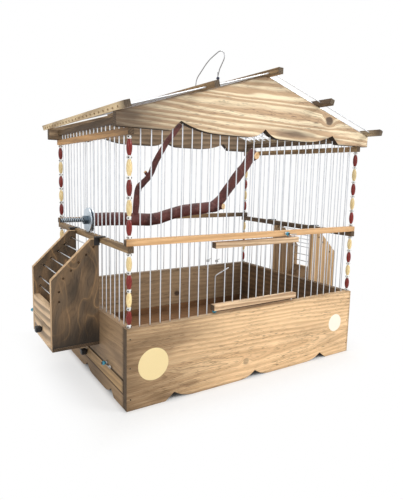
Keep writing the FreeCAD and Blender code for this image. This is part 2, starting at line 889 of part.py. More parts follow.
washer_outer_face = -wire_x - wire_radius
washer_inner_face = -wire_x + wire_radius
trunk_start = washer_inner_face + washer_thickness


def limb(points, radii):
    # A tapering limb through its centre points, its sections square to the run of the points.
    sections = []
    last = len(points) - 1
    for i, point in enumerate(points):
        ahead = points[min(i + 1, last)]
        behind = points[max(i - 1, 0)]
        sections.append(section(point, ahead - behind, 2 * radii[i], limb_sides))
    return Part.makeLoft(sections, True, True)


def on_perch(x, rise):
    # A point of the branch: distance from the wall and height above the trunk, in hundredths of its reach.
    return vec(trunk_start + x * perch_reach / 100, 0, perch_z + rise * perch_reach / 100)


def perch_bore(x0, x1, clearance):
    return strand(vec(x0, 0, perch_z), vec(x1, 0, perch_z), bolt_diameter + clearance, bead_sides)


def make_perch():
    r = trunk_radius
    trunk = limb([on_perch(0, 0), on_perch(11.8, 0), on_perch(21.3, -0.4), on_perch(33.9, -0.8),
                  on_perch(44.1, 1.6), on_perch(51.2, 3.1), on_perch(63, 4.3), on_perch(74, 5.1),
                  on_perch(79.1, 5.9)],
                 [r * 1.03, r * 1.04, r * 1.03, r, r * 0.96, r, r * 1.03, r, r * 0.94])
    main_limb = limb([on_perch(71.2, 5.1), on_perch(76.8, 9.2), on_perch(80.5, 13.6), on_perch(84.9, 18.6),
                      on_perch(89.5, 24), on_perch(95, 30), on_perch(100.3, 38.2)],
                     [r * 0.8, r * 0.9, r * 0.88, r * 0.9, r * 0.92, r * 0.86, r * 0.8])
    thin_limb = limb([on_perch(23.4, 0), on_perch(24.8, 14.2), on_perch(27.4, 17.9), on_perch(31.6, 22.4),
                      on_perch(35.2, 30), on_perch(40.6, 38.8), on_perch(45.1, 44.4), on_perch(49.4, 49.6)],
                     [r * 0.52, r * 0.52, r * 0.5, r * 0.48, r * 0.5, r * 0.46, r * 0.46, r * 0.42])
    branch = trunk.fuse([main_limb, thin_limb])
    bolt_hole = perch_bore(trunk_start, trunk_start + bolt_in_trunk, bolt_hole_clearance)
    save("perch_branch", [branch.cut(bolt_hole)])


def make_perch_hardware():
    nut_outer = washer_outer_face - washer_thickness - nut_thickness
    nut_inner = nut_outer + nut_thickness
    save("perch_bolt", [perch_bore(nut_inner - bolt_thread_out, trunk_start + bolt_in_trunk, 0)])
    washers = []
    for x in (washer_outer_face - washer_thickness, washer_inner_face):
        face = vec(x, 0, perch_z)
        disc = strand(face, face + vec(washer_thickness, 0, 0), washer_diameter, washer_sides)
        washers.append(disc.cut(perch_bore(x, x + washer_thickness, bolt_hole_clearance)))
    save("perch_washers", washers)
    nut = strand(vec(nut_outer, 0, perch_z), vec(nut_inner, 0, perch_z), nut_across_flats)
    save("perch_nut", [nut.cut(perch_bore(nut_outer, nut_inner, 2 * pivot_clearance))])


make_base()
make_rails()
make_eave_strips()
make_gables()
make_battens()
make_front_and_back_wires()
make_side_wires()
make_corner_wires()
make_roof_wires()
make_beads()
make_door()
make_door_latch()
make_catches()
make_tray()
make_feeders()
make_bail()
make_perch()
make_perch_hardware()
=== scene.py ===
import bmesh
import bpy
import math
import numpy as np
from mathutils import Matrix, Vector, noise


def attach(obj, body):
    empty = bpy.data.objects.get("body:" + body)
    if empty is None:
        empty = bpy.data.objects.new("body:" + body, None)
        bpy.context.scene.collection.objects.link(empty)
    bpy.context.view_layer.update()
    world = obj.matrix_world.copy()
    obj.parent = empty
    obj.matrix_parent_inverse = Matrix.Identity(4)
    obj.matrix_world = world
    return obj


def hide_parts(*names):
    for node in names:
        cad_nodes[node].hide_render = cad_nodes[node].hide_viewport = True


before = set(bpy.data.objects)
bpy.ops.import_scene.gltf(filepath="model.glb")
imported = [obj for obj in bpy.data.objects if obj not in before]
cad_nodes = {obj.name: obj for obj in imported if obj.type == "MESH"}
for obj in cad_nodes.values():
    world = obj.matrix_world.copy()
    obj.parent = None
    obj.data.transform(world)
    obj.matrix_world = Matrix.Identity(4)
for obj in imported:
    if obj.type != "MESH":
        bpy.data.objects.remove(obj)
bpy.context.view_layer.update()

# Sizes of the cage, in millimetres; a share is of the solid's own size
WIRE_RADIUS = 0.68
KNOB_SHARE = 0.78
FRONT_FACE = -128.5
FRONT_WIRE_Y = -124.0
ROOF_SLOPE = 0.305
ROOF_EDGE = 368.9
END_FACE = 175.0
LATCH_X = -60.893
LATCH_Y = -121.85
LOCK_X = 226.7
LOCK_LEVEL = 68.6
LOCK_TIP = 40.0
LOCK_GRIP = 66.0
FEEDER_OUT = 230.2
FEEDER_FLOOR = 52.5
FEEDER_SHOULDER = 132.0
FEEDER_TOP = 176.0
FEEDER_LEDGE = 184.5
PANEL_MIDDLE = 43.5
PANEL_HALF_THICKNESS = 3.5
BAR_HOLE_RADIUS = 1.25
BAIL_AXIS = 377.06
PERCH_LEVEL = 194.0
PERCH_START = -167.9
PERCH_REACH = 254.0

# The photograph's frame and camera, in pixels, degrees and millimetres
PHOTO_WIDTH = 403
PHOTO_HEIGHT = 500
FOCAL_PIXELS = 452.65
CENTRE_PIXEL = (208.13, 237.19)
CAMERA_PLACE = (-355.04, -551.78, 251.99)
CAMERA_TURN = -33.33
CAMERA_TILT = 7.71
CAMERA_ROLL = -1.47
SENSOR_HEIGHT = 36.0


def mm(x, y, z):
    return Vector((x / 1000, y / 1000, z / 1000))


def tint(red, green, blue):
    # A colour given in display values, as the linear colour that a socket takes.
    linear = []
    for value in (red, green, blue):
        share = value / 255
        linear.append(share / 12.92 if share <= 0.04045 else ((share + 0.055) / 1.055) ** 2.4)
    return (*linear, 1.0)


class Value:
    """An output socket that takes part in arithmetic; each step adds a Math node."""

    def __init__(self, graph, socket):
        self.graph = graph
        self.socket = socket

    def math(self, operation, *inputs):
        return self.graph.node("ShaderNodeMath", {"operation": operation}, dict(enumerate(inputs)))

    def __add__(self, other):
        return self.math("ADD", self, other)

    def __sub__(self, other):
        return self.math("SUBTRACT", self, other)

    def __rsub__(self, other):
        return self.math("SUBTRACT", other, self)

    def __mul__(self, other):
        return self.math("MULTIPLY", self, other)

    def __truediv__(self, other):
        return self.math("DIVIDE", self, other)

    def __pow__(self, other):
        return self.math("POWER", self, other)

    def __abs__(self):
        return self.math("ABSOLUTE", self)

    __radd__ = __add__
    __rmul__ = __mul__

    def step(self, low, high):
        # Rises smoothly from 0 at low to 1 at high.
        values = {"Value": self, "From Min": low, "From Max": high}
        return self.graph.node("ShaderNodeMapRange", {"interpolation_type": "SMOOTHSTEP"}, values)


class Graph:
    """A node tree under construction."""

    def __init__(self, tree):
        self.tree = tree

    def node(self, kind, settings, values, out=0):
        made = self.tree.nodes.new(kind)
        for key, setting in settings.items():
            setattr(made, key, setting)
        for key, value in values.items():
            if isinstance(value, Value):
                self.tree.links.new(value.socket, made.inputs[key])
            else:
                made.inputs[key].default_value = value
        return Value(self, made.outputs[out]) if made.outputs else None


class Finish(Graph):
    """A material and its nodes."""

    def __init__(self, name):
        self.material = bpy.data.materials.new(name)
        self.material.use_nodes = True
        super().__init__(self.material.node_tree)
        self.tree.nodes.clear()

    def place(self):
        # The point on the piece, in millimetres.
        point = self.node("ShaderNodeTexCoord", {}, {}, "Object")
        return self.node("ShaderNodeVectorMath", {"operation": "SCALE"}, {0: point, "Scale": 1000.0})

    def axes(self):
        point = self.place()
        split = self.tree.nodes.new("ShaderNodeSeparateXYZ")
        self.tree.links.new(point.socket, split.inputs[0])
        return [Value(self, socket) for socket in split.outputs]

    def noise(self, vector, scale=1.0, detail=2.0, roughness=0.6):
        values = {"Vector": vector, "Scale": scale, "Detail": detail, "Roughness": roughness}
        return self.node("ShaderNodeTexNoise", {}, values)

    def mix(self, share, first, second, blend="MIX"):
        settings = {"data_type": "RGBA", "blend_type": blend}
        return self.node("ShaderNodeMix", settings, {0: share, 6: first, 7: second}, 2)

    def shaded(self, colour, grey):
        return self.mix(1.0, colour, grey, "MULTIPLY")

    def bump(self, height, depth, strength=0.5):
        values = {"Height": height, "Distance": depth / 1000, "Strength": strength}
        return self.node("ShaderNodeBump", {}, values)

    def surface(self, **values):
        sockets = {name.replace("_", " "): value for name, value in values.items()}
        shader = self.node("ShaderNodeBsdfPrincipled", {}, sockets)
        self.node("ShaderNodeOutputMaterial", {}, {"Surface": shader})
        return self.material


# Finishes: flamed pine, metal, beads, bark, paint and paper

GRAIN_AXES = {"X": (0, 2, 1), "Y": (1, 2, 0), "Z": (2, 0, 1)}


def pine(name, grain, light, dark, ring=8.0, pith=(0.0, -40.0), taper=0.03, wander=6.0, rise=0.15,
         contrast=0.7, fine=0.4, specks=0.3, scorch=0.3, char_and_shade=(72, 58, 46), seed=0.0, uneven=0.0, fan=None,
         veins=None, knots=(), burns_and_shade=(), patches=()):
    # Flamed pine: broad and fine yearly rings cut by the saw, fibre, burnt dashes, scorched clouds, curled
    # veins, knots (along, across, size, strength), darkened bands in the char colour that are burnt edges on
    # some boards and painted shade on others (axis, place, reach, amount; R is height up to the roof edge)
    # and burnt patches (along, across, half length, half width, amount). A fan (level, rate) spreads the
    # years along the board, to both sides of one of them.
    finish = Finish(name)
    axes = finish.axes()
    axes.append(axes[2] + abs(axes[0]) * ROOF_SLOPE)
    along, across, deep = (axes[i] for i in GRAIN_AXES[grain])

    def streaks(run, width, detail, shift):
        values = {0: along * run + (seed * 7.3 + shift), 1: across * width, 2: deep * width}
        return finish.noise(finish.node("ShaderNodeCombineXYZ", {}, values), 1.0, detail)

    sway = streaks(0.006, 0.018, 1.5, 0.0) - 0.5
    ripple = streaks(0.035, 0.14, 1.0, 31.0) - 0.5
    from_pith = ((across - pith[0]) ** 2.0 + (deep - pith[1]) ** 2.0) ** 0.5
    vary = streaks(0.004, 0.06, 1.0, 57.0)
    if fan:
        from_pith = (from_pith - fan[0]) * (1 - along * fan[1])
    growth = from_pith + along * taper + sway * (wander * 2) + ripple * (wander * 0.3)
    growth = growth + vary * (ring * uneven)
    cores = []
    for at, height, size, strength in knots:
        reach = (((along - at) * 0.8) ** 2.0 + (across - height) ** 2.0) ** 0.5 + ripple * (size * 1.2)
        growth = growth + reach.step(size * 3.0, 0.0) * (size * 1.4 * strength)
        cores.append((reach.step(size * 1.2, size * 0.7) * strength, reach.step(size * 2.6, size) * strength))
    spread = streaks(0.012, 0.05, 2.0, 71.0)
    fibre = streaks(0.045, 1.3, 3.0, 11.0)
    dash = streaks(0.09, 0.95, 2.0, 83.0).step(0.55, 0.70)
    cloud = streaks(0.010, 0.032, 2.0, 101.0).step(0.42, 0.78)
    year = growth / ring
    year = year.math("FRACT", year)
    late = year.step(rise, 0.7) * year.step(1.0, 0.84)
    thin = growth / (ring * 0.23) + vary * 2.0
    thin = thin.math("FRACT", thin)
    thin = thin.step(0.45, 0.85) * thin.step(1.0, 0.93)
    deep_tone = tint(*(0.8 * min(pair) for pair in zip(light, dark)))
    colour = finish.mix(late * (vary * (contrast * 1.3) + contrast * 0.3), tint(*light), tint(*dark))
    colour = finish.mix(thin * spread.step(0.3, 0.75) * fine, colour, deep_tone)
    colour = finish.mix(cloud * scorch, colour, tint(*char_and_shade))
    colour = finish.mix(dash * spread.step(0.25, 0.7) * specks, colour, tint(*char_and_shade))
    if veins:
        figure = streaks(0.014, 0.030, 1.5, 131.0)
        curl = abs(abs(figure - 0.5) - 0.05)
        curl = curl.step(0.008, 0.001) * 0.5 + curl.step(0.035, 0.0) * 0.3
        colour = finish.mix(curl * spread.step(0.34, 0.62), colour, tint(*veins))
    for axis, place, reach, amount in burns_and_shade:
        away = abs(axes["XYZR".index(axis)] - place) + (fibre + cloud) * (reach * 0.35)
        colour = finish.mix(away.step(reach, 0.0) * amount, colour, tint(*char_and_shade))
    for at, height, length, width, amount in patches:
        away = (((along - at) / length) ** 2.0 + ((across - height) / width) ** 2.0) ** 0.5 + ripple
        colour = finish.mix(away.step(1.1, 0.2) * amount, colour, tint(*char_and_shade))
    for core, halo in cores:
        colour = finish.mix(halo * 0.35, colour, tint(*light))
        colour = finish.mix(core, colour, tint(84, 66, 54))
    colour = finish.shaded(colour, fibre * 0.5 + 0.75)
    height = fibre - late * 0.6 - thin * 0.4 - dash * 0.4
    return finish.surface(Base_Color=colour, Roughness=fibre * 0.2 + 0.52,
                          Normal=finish.bump(height, 0.25), Specular_IOR_Level=0.3)


def end_grain(name, grain, light, dark, pith, ring=2.2, seed=0.0):
    # Sawn ends: arcs of the yearly rings, dark where the grain drinks the stain.
    finish = Finish(name)
    axes = finish.axes()
    across, deep = (axes[i] for i in GRAIN_AXES[grain][1:])
    point = finish.place()
    fuzz = finish.noise(point, 0.9, 3.0)
    blot = finish.noise(point, 0.12, 2.0)
    from_pith = ((across - pith[0]) ** 2.0 + (deep - pith[1]) ** 2.0) ** 0.5
    year = (from_pith + (blot - 0.5) * 3.0 + seed) / ring
    year = year.math("FRACT", year)
    late = year.step(0.3, 0.85) * year.step(1.0, 0.92)
    colour = finish.mix(late * 0.7, tint(*light), tint(*dark))
    colour = finish.mix(blot.step(0.4, 0.75) * 0.5, colour, tint(*dark))
    colour = finish.shaded(colour, fuzz * 0.7 + 0.65)
    return finish.surface(Base_Color=colour, Roughness=fuzz * 0.2 + 0.65,
                          Normal=finish.bump(fuzz - late * 0.5, 0.3), Specular_IOR_Level=0.2)


def drawn_metal(name, colour, dull, roughness, streak=0.5):
    # Drawn or plated metal with dull smears and fine scratches.
    finish = Finish(name)
    point = finish.place()
    smear = finish.noise(point, 0.05, 3.0)
    scratch = finish.noise(point, 1.6, 2.0)
    shade = finish.mix(smear.step(0.42, 0.7) * streak, tint(*colour), tint(*dull))
    shade = finish.shaded(shade, scratch * 0.3 + 0.85)
    return finish.surface(Base_Color=shade, Metallic=1.0, Roughness=smear * 0.25 + (roughness - 0.1),
                          Normal=finish.bump(scratch, 0.05, 0.3))


def bead_glaze(name, colour, shadow, roughness=0.16, coat=0.6):
    # Glazed beads: each a little lighter or darker, streaked along the string, with small pits.
    finish = Finish(name)
    x, y, z = finish.axes()
    tone = finish.node("ShaderNodeAttribute", {"attribute_name": "tone"}, {}, "Fac")
    spot = finish.node("ShaderNodeCombineXYZ", {}, {0: x * 1.4, 1: y * 1.4, 2: z * 0.25})
    streak = finish.noise(spot, 1.0, 2.0)
    pits = finish.noise(finish.place(), 2.2, 2.0).step(0.62, 0.74)
    shade = finish.mix(streak.step(0.35, 0.7) * 0.7, tint(*colour), tint(*shadow))
    shade = finish.mix(pits * 0.35, shade, tint(*shadow))
    shade = finish.shaded(shade, tone * 0.35 + 0.82)
    return finish.surface(
        Base_Color=shade, Roughness=streak * 0.15 + roughness, Coat_Weight=coat, Coat_Roughness=0.06,
        Specular_IOR_Level=0.25, Normal=finish.bump(pits * -1.0, 0.15, 0.4))


def bark_skin():
    # Smooth dark red-brown bark: grey bloom, darker bands and small pale breathing pores.
    finish = Finish("branch bark")
    x, y, z = finish.axes()
    point = finish.place()
    bloom = finish.noise(point, 0.045, 3.0)
    band = finish.node("ShaderNodeCombineXYZ", {}, {0: x * 0.22, 1: y * 0.08, 2: z * 0.16})
    band = finish.noise(band, 1.0, 3.0)
    rough = finish.noise(point, 0.75, 3.0)
    pores = finish.node("ShaderNodeCombineXYZ", {}, {0: x * 0.55, 1: y * 0.3, 2: z * 0.3})
    pores = finish.noise(pores, 1.0, 1.0).step(0.68, 0.74)
    shade = finish.mix(bloom.step(0.35, 0.7), tint(104, 56, 52), tint(66, 32, 31))
    shade = finish.mix(band.step(0.5, 0.75) * 0.6, shade, tint(128, 82, 74))
    shade = finish.mix(pores * 0.5, shade, tint(150, 112, 96))
    shade = finish.shaded(shade, rough * 0.6 + 0.7)
    return finish.surface(Base_Color=shade, Roughness=rough * 0.25 + 0.42, Specular_IOR_Level=0.35,
                          Normal=finish.bump(rough * 0.6 + band, 0.5, 0.6))


def cut_branch():
    finish = Finish("cut branch")
    point = finish.place()
    fuzz = finish.noise(point, 0.9, 3.0)
    stain = finish.noise(point, 0.25, 2.0)
    shade = finish.mix(stain.step(0.35, 0.7), tint(246, 216, 168), tint(205, 150, 92))
    shade = finish.shaded(shade, fuzz * 0.4 + 0.8)
    return finish.surface(Base_Color=shade, Roughness=fuzz * 0.2 + 0.6, Normal=finish.bump(fuzz, 0.25))


def matt_paint(name, colour, worn, roughness):
    # Paint with a soft orange peel, rubbed thin in places.
    finish = Finish(name)
    point = finish.place()
    peel = finish.noise(point, 1.1, 2.0)
    rubbed = finish.noise(point, 0.35, 3.0).step(0.6, 0.78)
    shade = finish.mix(rubbed * 0.5, tint(*colour), tint(*worn))
    return finish.surface(Base_Color=shade, Roughness=peel * 0.25 + (roughness - 0.1),
                          Normal=finish.bump(peel, 0.12, 0.5))


def label_paper(name, colour, fleck):
    finish = Finish(name)
    point = finish.place()
    pulp = finish.noise(point, 1.4, 3.0)
    flecks = finish.noise(point, 3.2, 2.0).step(0.62, 0.72)
    shade = finish.mix(flecks * 0.35, tint(*colour), tint(*fleck))
    shade = finish.shaded(shade, pulp * 0.14 + 0.93)
    return finish.surface(Base_Color=shade, Roughness=pulp * 0.15 + 0.55, Normal=finish.bump(pulp, 0.06, 0.4))


# The first burn darkens the front board towards its left end: painted shade, as if the light came from the
# right.
FRONT_PINE = pine(
    "front board pine", "X", (248, 212, 166), (194, 152, 108), ring=4.6, pith=(30, -112), taper=0.03,
    wander=5.0, contrast=0.5, fine=0.6, specks=0.9, scorch=0.22, char_and_shade=(100, 76, 51), seed=1.0,
    knots=((-15, 23.6, 3.8, 0.45),), uneven=1.5,
    burns_and_shade=(("X", -175, 210, 0.95), ("Z", 91, 4, 0.4), ("Z", 0, 5, 0.5), ("X", 175, 7, 0.7)),
    patches=((-129, 8, 24, 8, 0.6), (-96, 14, 16, 5, 0.4), (-110, 74, 60, 14, 0.3)))
# The last burn darkens the back board towards its right end: painted shade in the back right corner.
BACK_PINE = pine(
    "back board pine", "X", (190, 163, 130), (132, 111, 87), ring=7.0, pith=(-90, 60), taper=0.03,
    wander=6.0, contrast=0.4, fine=0.5, specks=0.85, scorch=0.35, seed=2.0, knots=((24.4, 48, 4.6, 0.95),),
    burns_and_shade=(("Z", 91, 3, 0.6), ("X", 166, 130, 0.5)), patches=((24.4, 48, 7, 6, 0.95),))
# The R burn darkens the gable along its sloped top edges: painted shade there.
GABLE_PINE = pine(
    "gable pine", "X", (203, 171, 136), (253, 234, 198), ring=7.6, pith=(40, -128), taper=0.0, uneven=3.0,
    fan=(292, 0.0021), wander=6.0, rise=0.3, contrast=1.0, fine=0.55, specks=0.75, scorch=0.25,
    char_and_shade=(86, 71, 58), seed=3.0, knots=((107.3, 327, 5.0, 0.9),),
    burns_and_shade=(("X", -187, 168, 1.0), ("Z", 297.6, 4, 0.6), ("X", 187, 4, 0.5), ("Z", 372, 34, 0.55),
           ("R", ROOF_EDGE, 3, 0.85)),
    patches=((-172, 309, 14, 8, 0.6), (48, 306, 46, 6.5, 0.75), (110, 304, 26, 4, 0.5)))
# A darker copy of the gable pine: painted shade on the rear gable, seen from inside the cage. It is darker
# still along its foot and towards its right end.
SHADED_REAR_GABLE_PINE = pine(
    "rear gable pine", "X", (166, 142, 114), (106, 89, 71), ring=8.0, pith=(30, 128), taper=-0.06,
    wander=8.0, contrast=0.8, specks=0.5, scorch=0.5, seed=4.0,
    burns_and_shade=(("Z", 297.6, 7, 0.85), ("X", 187, 150, 0.6)))
# The burns at 33.4 and 16 mm are painted shade lines along the top and bottom of the tray slot; the burn that
# darkens the board towards the feeder is scorch and painted shade together.
END_PINE = pine(
    "end board pine", "Y", (172, 142, 108), (126, 101, 74), ring=9.0, pith=(-60, -160), taper=0.03,
    wander=8.0, uneven=2.0, contrast=0.35, specks=0.5, scorch=0.5, seed=5.0,
    burns_and_shade=(("Z", 33.4, 3.0, 0.9), ("Z", 16.0, 2.0, 0.8), ("Y", -119, 8, 0.6), ("Y", -30, 80, 0.6)))
# A darker copy of the end board pine: painted shade on the right end board's inner face.
SHADED_END_BOARD = pine("dark board pine", "Y", (128, 102, 74), (84, 66, 48), ring=8.0, pith=(-60, 160), taper=0.03,
                  wander=8.0, contrast=0.6, specks=0.4, scorch=0.6, seed=5.5)
# The burn along the top of the tray lip is a painted shadow line in the gap under the slot's top edge.
TRAY_LIP_PINE = pine(
    "tray lip pine", "Y", (190, 156, 112), (136, 108, 76), ring=6.0, pith=(0, -190), taper=0.03, wander=5.0,
    contrast=0.6, specks=0.3, scorch=0.35, seed=5.8, burns_and_shade=(("Y", -119, 9, 0.8), ("Z", 31.2, 1.6, 0.95)))
# The left feeder panels get darker towards the bottom, near black along the foot.
PANEL_PINE = pine(
    "feeder panel pine", "Z", (108, 90, 71), (146, 116, 84), ring=15.0, pith=(-120, 0), taper=0.30,
    wander=24.0, contrast=0.5, fine=0.4, specks=0.5, scorch=0.85, char_and_shade=(48, 42, 36), seed=6.0,
    veins=(164, 130, 92), burns_and_shade=(("Z", 50, 64, 1.0), ("Z", 52.5, 4, 1.0)),
    patches=((118, -205, 24, 9, 0.6), (150, -186, 16, 9, 0.6), (98, -190, 16, 10, 0.45),
             (62, -188, 26, 22, 0.7)))
# The burn at y 44 darkens the rear right feeder panel: painted shade on its inner side.
PALE_PANEL_PINE = pine(
    "pale feeder panel pine", "Z", (210, 172, 126), (150, 118, 82), ring=6.0, pith=(120, 0), taper=0.05,
    wander=8.0, contrast=0.7, specks=0.3, scorch=0.3, seed=6.5, burns_and_shade=(("Y", 44, 26, 0.9),))
PANEL_EDGE = pine(
    "feeder panel edge", "Z", (226, 190, 146), (176, 140, 102), ring=5.0, pith=(40, 20), taper=0.02,
    wander=3.0, contrast=0.5, specks=0.3, scorch=0.2, seed=6.8)
FEEDER_PINE = pine(
    "feeder front pine", "Y", (230, 198, 160), (122, 101, 80), ring=8.5, pith=(20, -190), taper=0.03,
    wander=6.0, contrast=0.9, fine=0.55, specks=0.4, scorch=0.35, seed=7.0)
# The burn darkens the back rail towards its right end: painted shade at the back of the cage.
STICK_PINE_X = pine(
    "cross stick pine", "X", (170, 138, 98), (112, 88, 62), ring=5.0, pith=(200, 60), taper=0.02,
    wander=4.0, specks=0.4, scorch=0.5, char_and_shade=(48, 42, 38), seed=8.0, burns_and_shade=(("X", 178, 240, 1.0),))
STICK_PINE_Y = pine(
    "side stick pine", "Y", (172, 142, 104), (110, 88, 64), ring=5.0, pith=(200, -230), taper=0.02,
    wander=4.0, specks=0.4, scorch=0.55, seed=9.0)
UPPER_PINE = pine(
    "upper rail pine", "Y", (214, 166, 112), (160, 122, 82), ring=5.0, pith=(330, -230), taper=0.02,
    wander=4.0, specks=0.3, scorch=0.3, seed=9.5, burns_and_shade=(("Y", -128, 190, 0.75),))
# A darker copy of the side stick pine: painted shade for the right side rail and the eave strips under the
# battens.
SHADED_STICK_Y = pine(
    "dark side stick pine", "Y", (112, 92, 70), (72, 58, 45), ring=5.0, pith=(200, 230), taper=0.02,
    wander=4.0, specks=0.4, scorch=0.5, seed=9.8)
# The burn at x 85 darkens the right middle batten: painted shade, as it is seen from its shaded side.
BATTEN_PINE = pine("batten pine", "Y", (172, 142, 104), (104, 84, 62), ring=4.0, pith=(420, 30), taper=0.03,
                   wander=5.0, specks=0.5, scorch=0.5, seed=10.0,
                   burns_and_shade=(("Y", -152.5, 8, 0.5), ("Y", 152.5, 8, 0.5), ("X", 85, 40, 0.95)))
# The burn at x 186 darkens the right eave batten: painted shade, as it is seen from its shaded side.
EAVE_PINE = pine(
    "eave batten pine", "Y", (226, 202, 162), (172, 146, 112), ring=4.0, pith=(340, 200), taper=0.03,
    wander=4.0, specks=0.4, scorch=0.2, seed=10.5,
    burns_and_shade=(("Y", -152.5, 26, 0.9), ("Y", 152.5, 10, 0.5), ("X", 186, 50, 0.8)))
RAIL_PINE = pine(
    "front rail pine", "X", (228, 184, 134), (196, 150, 102), ring=5.0, pith=(240, -90), taper=0.015,
    wander=3.0, contrast=0.6, specks=0.15, scorch=0.2, char_and_shade=(140, 98, 62), seed=11.0,
    burns_and_shade=(("X", -178, 20, 0.6), ("X", 178, 20, 0.6)))
DOOR_PINE = pine(
    "door stick pine", "X", (242, 210, 170), (180, 144, 110), ring=4.0, pith=(60, -100), taper=0.02,
    wander=3.0, contrast=0.9, specks=0.6, scorch=0.4, char_and_shade=(122, 96, 74), seed=12.0,
    burns_and_shade=(("X", -65.4, 3, 0.8),))
TRAY_PINE = pine("tray pine", "X", (138, 101, 67), (100, 71, 45), ring=8.0, pith=(10, -190), taper=0.03,
                 wander=6.0, contrast=0.5, specks=0.4, scorch=0.35, seed=13.0, burns_and_shade=(("X", 166, 200, 0.5),))
CHARRED = end_grain("charred edge", "X", (66, 54, 44), (34, 28, 24), (-30, -60))
DARK_END_X = end_grain("dark end grain", "X", (104, 88, 72), (62, 52, 44), (-30, -60))
DARK_END_Y = end_grain("dark side end grain", "Y", (104, 86, 68), (60, 50, 42), (140, -60))
BATTEN_END = end_grain("batten end grain", "Y", (112, 98, 82), (72, 63, 54), (300, 40))
ZINC_WIRE = drawn_metal("zinc wire", (222, 225, 229), (188, 192, 198), 0.3)
STEEL_WIRE = drawn_metal("latch wire", (186, 186, 186), (122, 118, 116), 0.36)
BAIL_WIRE = drawn_metal("bail wire", (172, 172, 174), (120, 118, 117), 0.42)
PLATED = drawn_metal("plated steel", (196, 206, 214), (136, 148, 158), 0.36)
NUT_STEEL = drawn_metal("nut steel", (112, 124, 134), (66, 74, 82), 0.4)
DARK_THREAD = drawn_metal("thread groove steel", (46, 46, 49), (28, 28, 30), 0.5)
NAIL_STEEL = drawn_metal("nail steel", (70, 66, 62), (40, 36, 34), 0.45)
RED_GLAZE = bead_glaze("red glaze", (136, 42, 34), (72, 18, 15), coat=0.2)
CREAM_GLAZE = bead_glaze("cream glaze", (240, 218, 164), (204, 166, 98))
PALE_GLAZE = bead_glaze("pale glaze", (240, 240, 236), (206, 206, 204))
TEAL_GLAZE = bead_glaze("teal glaze", (70, 168, 196), (30, 96, 128))
NAVY_GLAZE = bead_glaze("navy glaze", (26, 40, 78), (12, 18, 40))
BLACK_PAINT = matt_paint("black knob paint", (24, 24, 26), (52, 48, 46), 0.45)
BLACK_METAL = matt_paint("black bracket paint", (30, 29, 30), (70, 64, 60), 0.5)
BARK = bark_skin()
CUT_BRANCH = cut_branch()
# Rings round the roof wire ends and the feeder bar ends: painted shade of the holes they sit in; round the
# bars burnt wood too.
PALE_RING = end_grain("pale ring", "X", (178, 152, 116), (122, 100, 74), (-30, -60))
BURNT_AND_SHADED_RING = end_grain("burnt ring", "X", (112, 86, 60), (72, 54, 40), (-30, -60))
KRAFT = label_paper("kraft label", (240, 218, 164), (214, 182, 120))
PALE_LABEL = label_paper("pale label", (244, 240, 224), (226, 216, 188))


# Making pieces


def settle(piece, body, slot, *replaced):
    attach(piece, body)
    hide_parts(*replaced)
    return piece


def add_object(name, mesh):
    piece = bpy.data.objects.new(name, mesh)
    bpy.context.scene.collection.objects.link(piece)
    return piece


def ease(piece, width, angle=40):
    # Sanded edges.
    bevel = piece.modifiers.new("sanded edges", "BEVEL")
    bevel.width = width / 1000
    bevel.segments = 2
    bevel.limit_method = "ANGLE"
    bevel.angle_limit = math.radians(angle)
    bevel.harden_normals = True
    piece.data.shade_smooth()
    piece.data.set_sharp_from_angle(angle=math.radians(angle))


def sort_faces(mesh, grain):
    # Faces square to the grain take the second finish, the end grain; undersides the third, if there is one.
    axis = "XYZ".index(grain)
    for face in mesh.polygons:
        face.material_index = 1 if abs(face.normal[axis]) > 0.85 else 0
        if len(mesh.materials) > 2 and face.normal.z < -0.25:
            face.material_index = 2


def merged_copy(node):
    shape = bmesh.new()
    shape.from_mesh(cad_nodes[node].data)
    bmesh.ops.remove_doubles(shape, verts=shape.verts[:], dist=1e-6)
    return shape


def shaped(name, node, body, slot, finishes, grain=None, width=0.5):
    # A piece on its solid's exact shape, with sanded edges and its finishes.
    shape = merged_copy(node)
    bmesh.ops.dissolve_limit(shape, angle_limit=math.radians(1), verts=shape.verts[:], edges=shape.edges[:])
    mesh = bpy.data.meshes.new(name)
    shape.to_mesh(mesh)
    shape.free()
    for finish in finishes:
        mesh.materials.append(finish)
    for face in mesh.polygons:
        face.material_index = 0
    if grain:
        sort_faces(mesh, grain)
    piece = add_object(name, mesh)
    ease(piece, width)
    return settle(piece, body, slot, node)


def solids(node):
    # Corner points of each separate solid of a node.
    shape = merged_copy(node)
    left = set(shape.verts)
    groups = []
    for first in shape.verts:
        if first not in left:
            continue
        left.remove(first)
        waiting = [first]
        group = []
        while waiting:
            vert = waiting.pop()
            group.append(list(vert.co))
            for edge in vert.link_edges:
                other = edge.other_vert(vert)
                if other in left:
                    left.remove(other)
                    waiting.append(other)
        groups.append(np.array(group))
    shape.free()
    return groups


def wire_ends(points):
    middle = points.mean(axis=0)
    axis = np.linalg.svd(points - middle)[2][0]
    run = (points - middle) @ axis
    return Vector(middle + axis * run.min()), Vector(middle + axis * run.max())


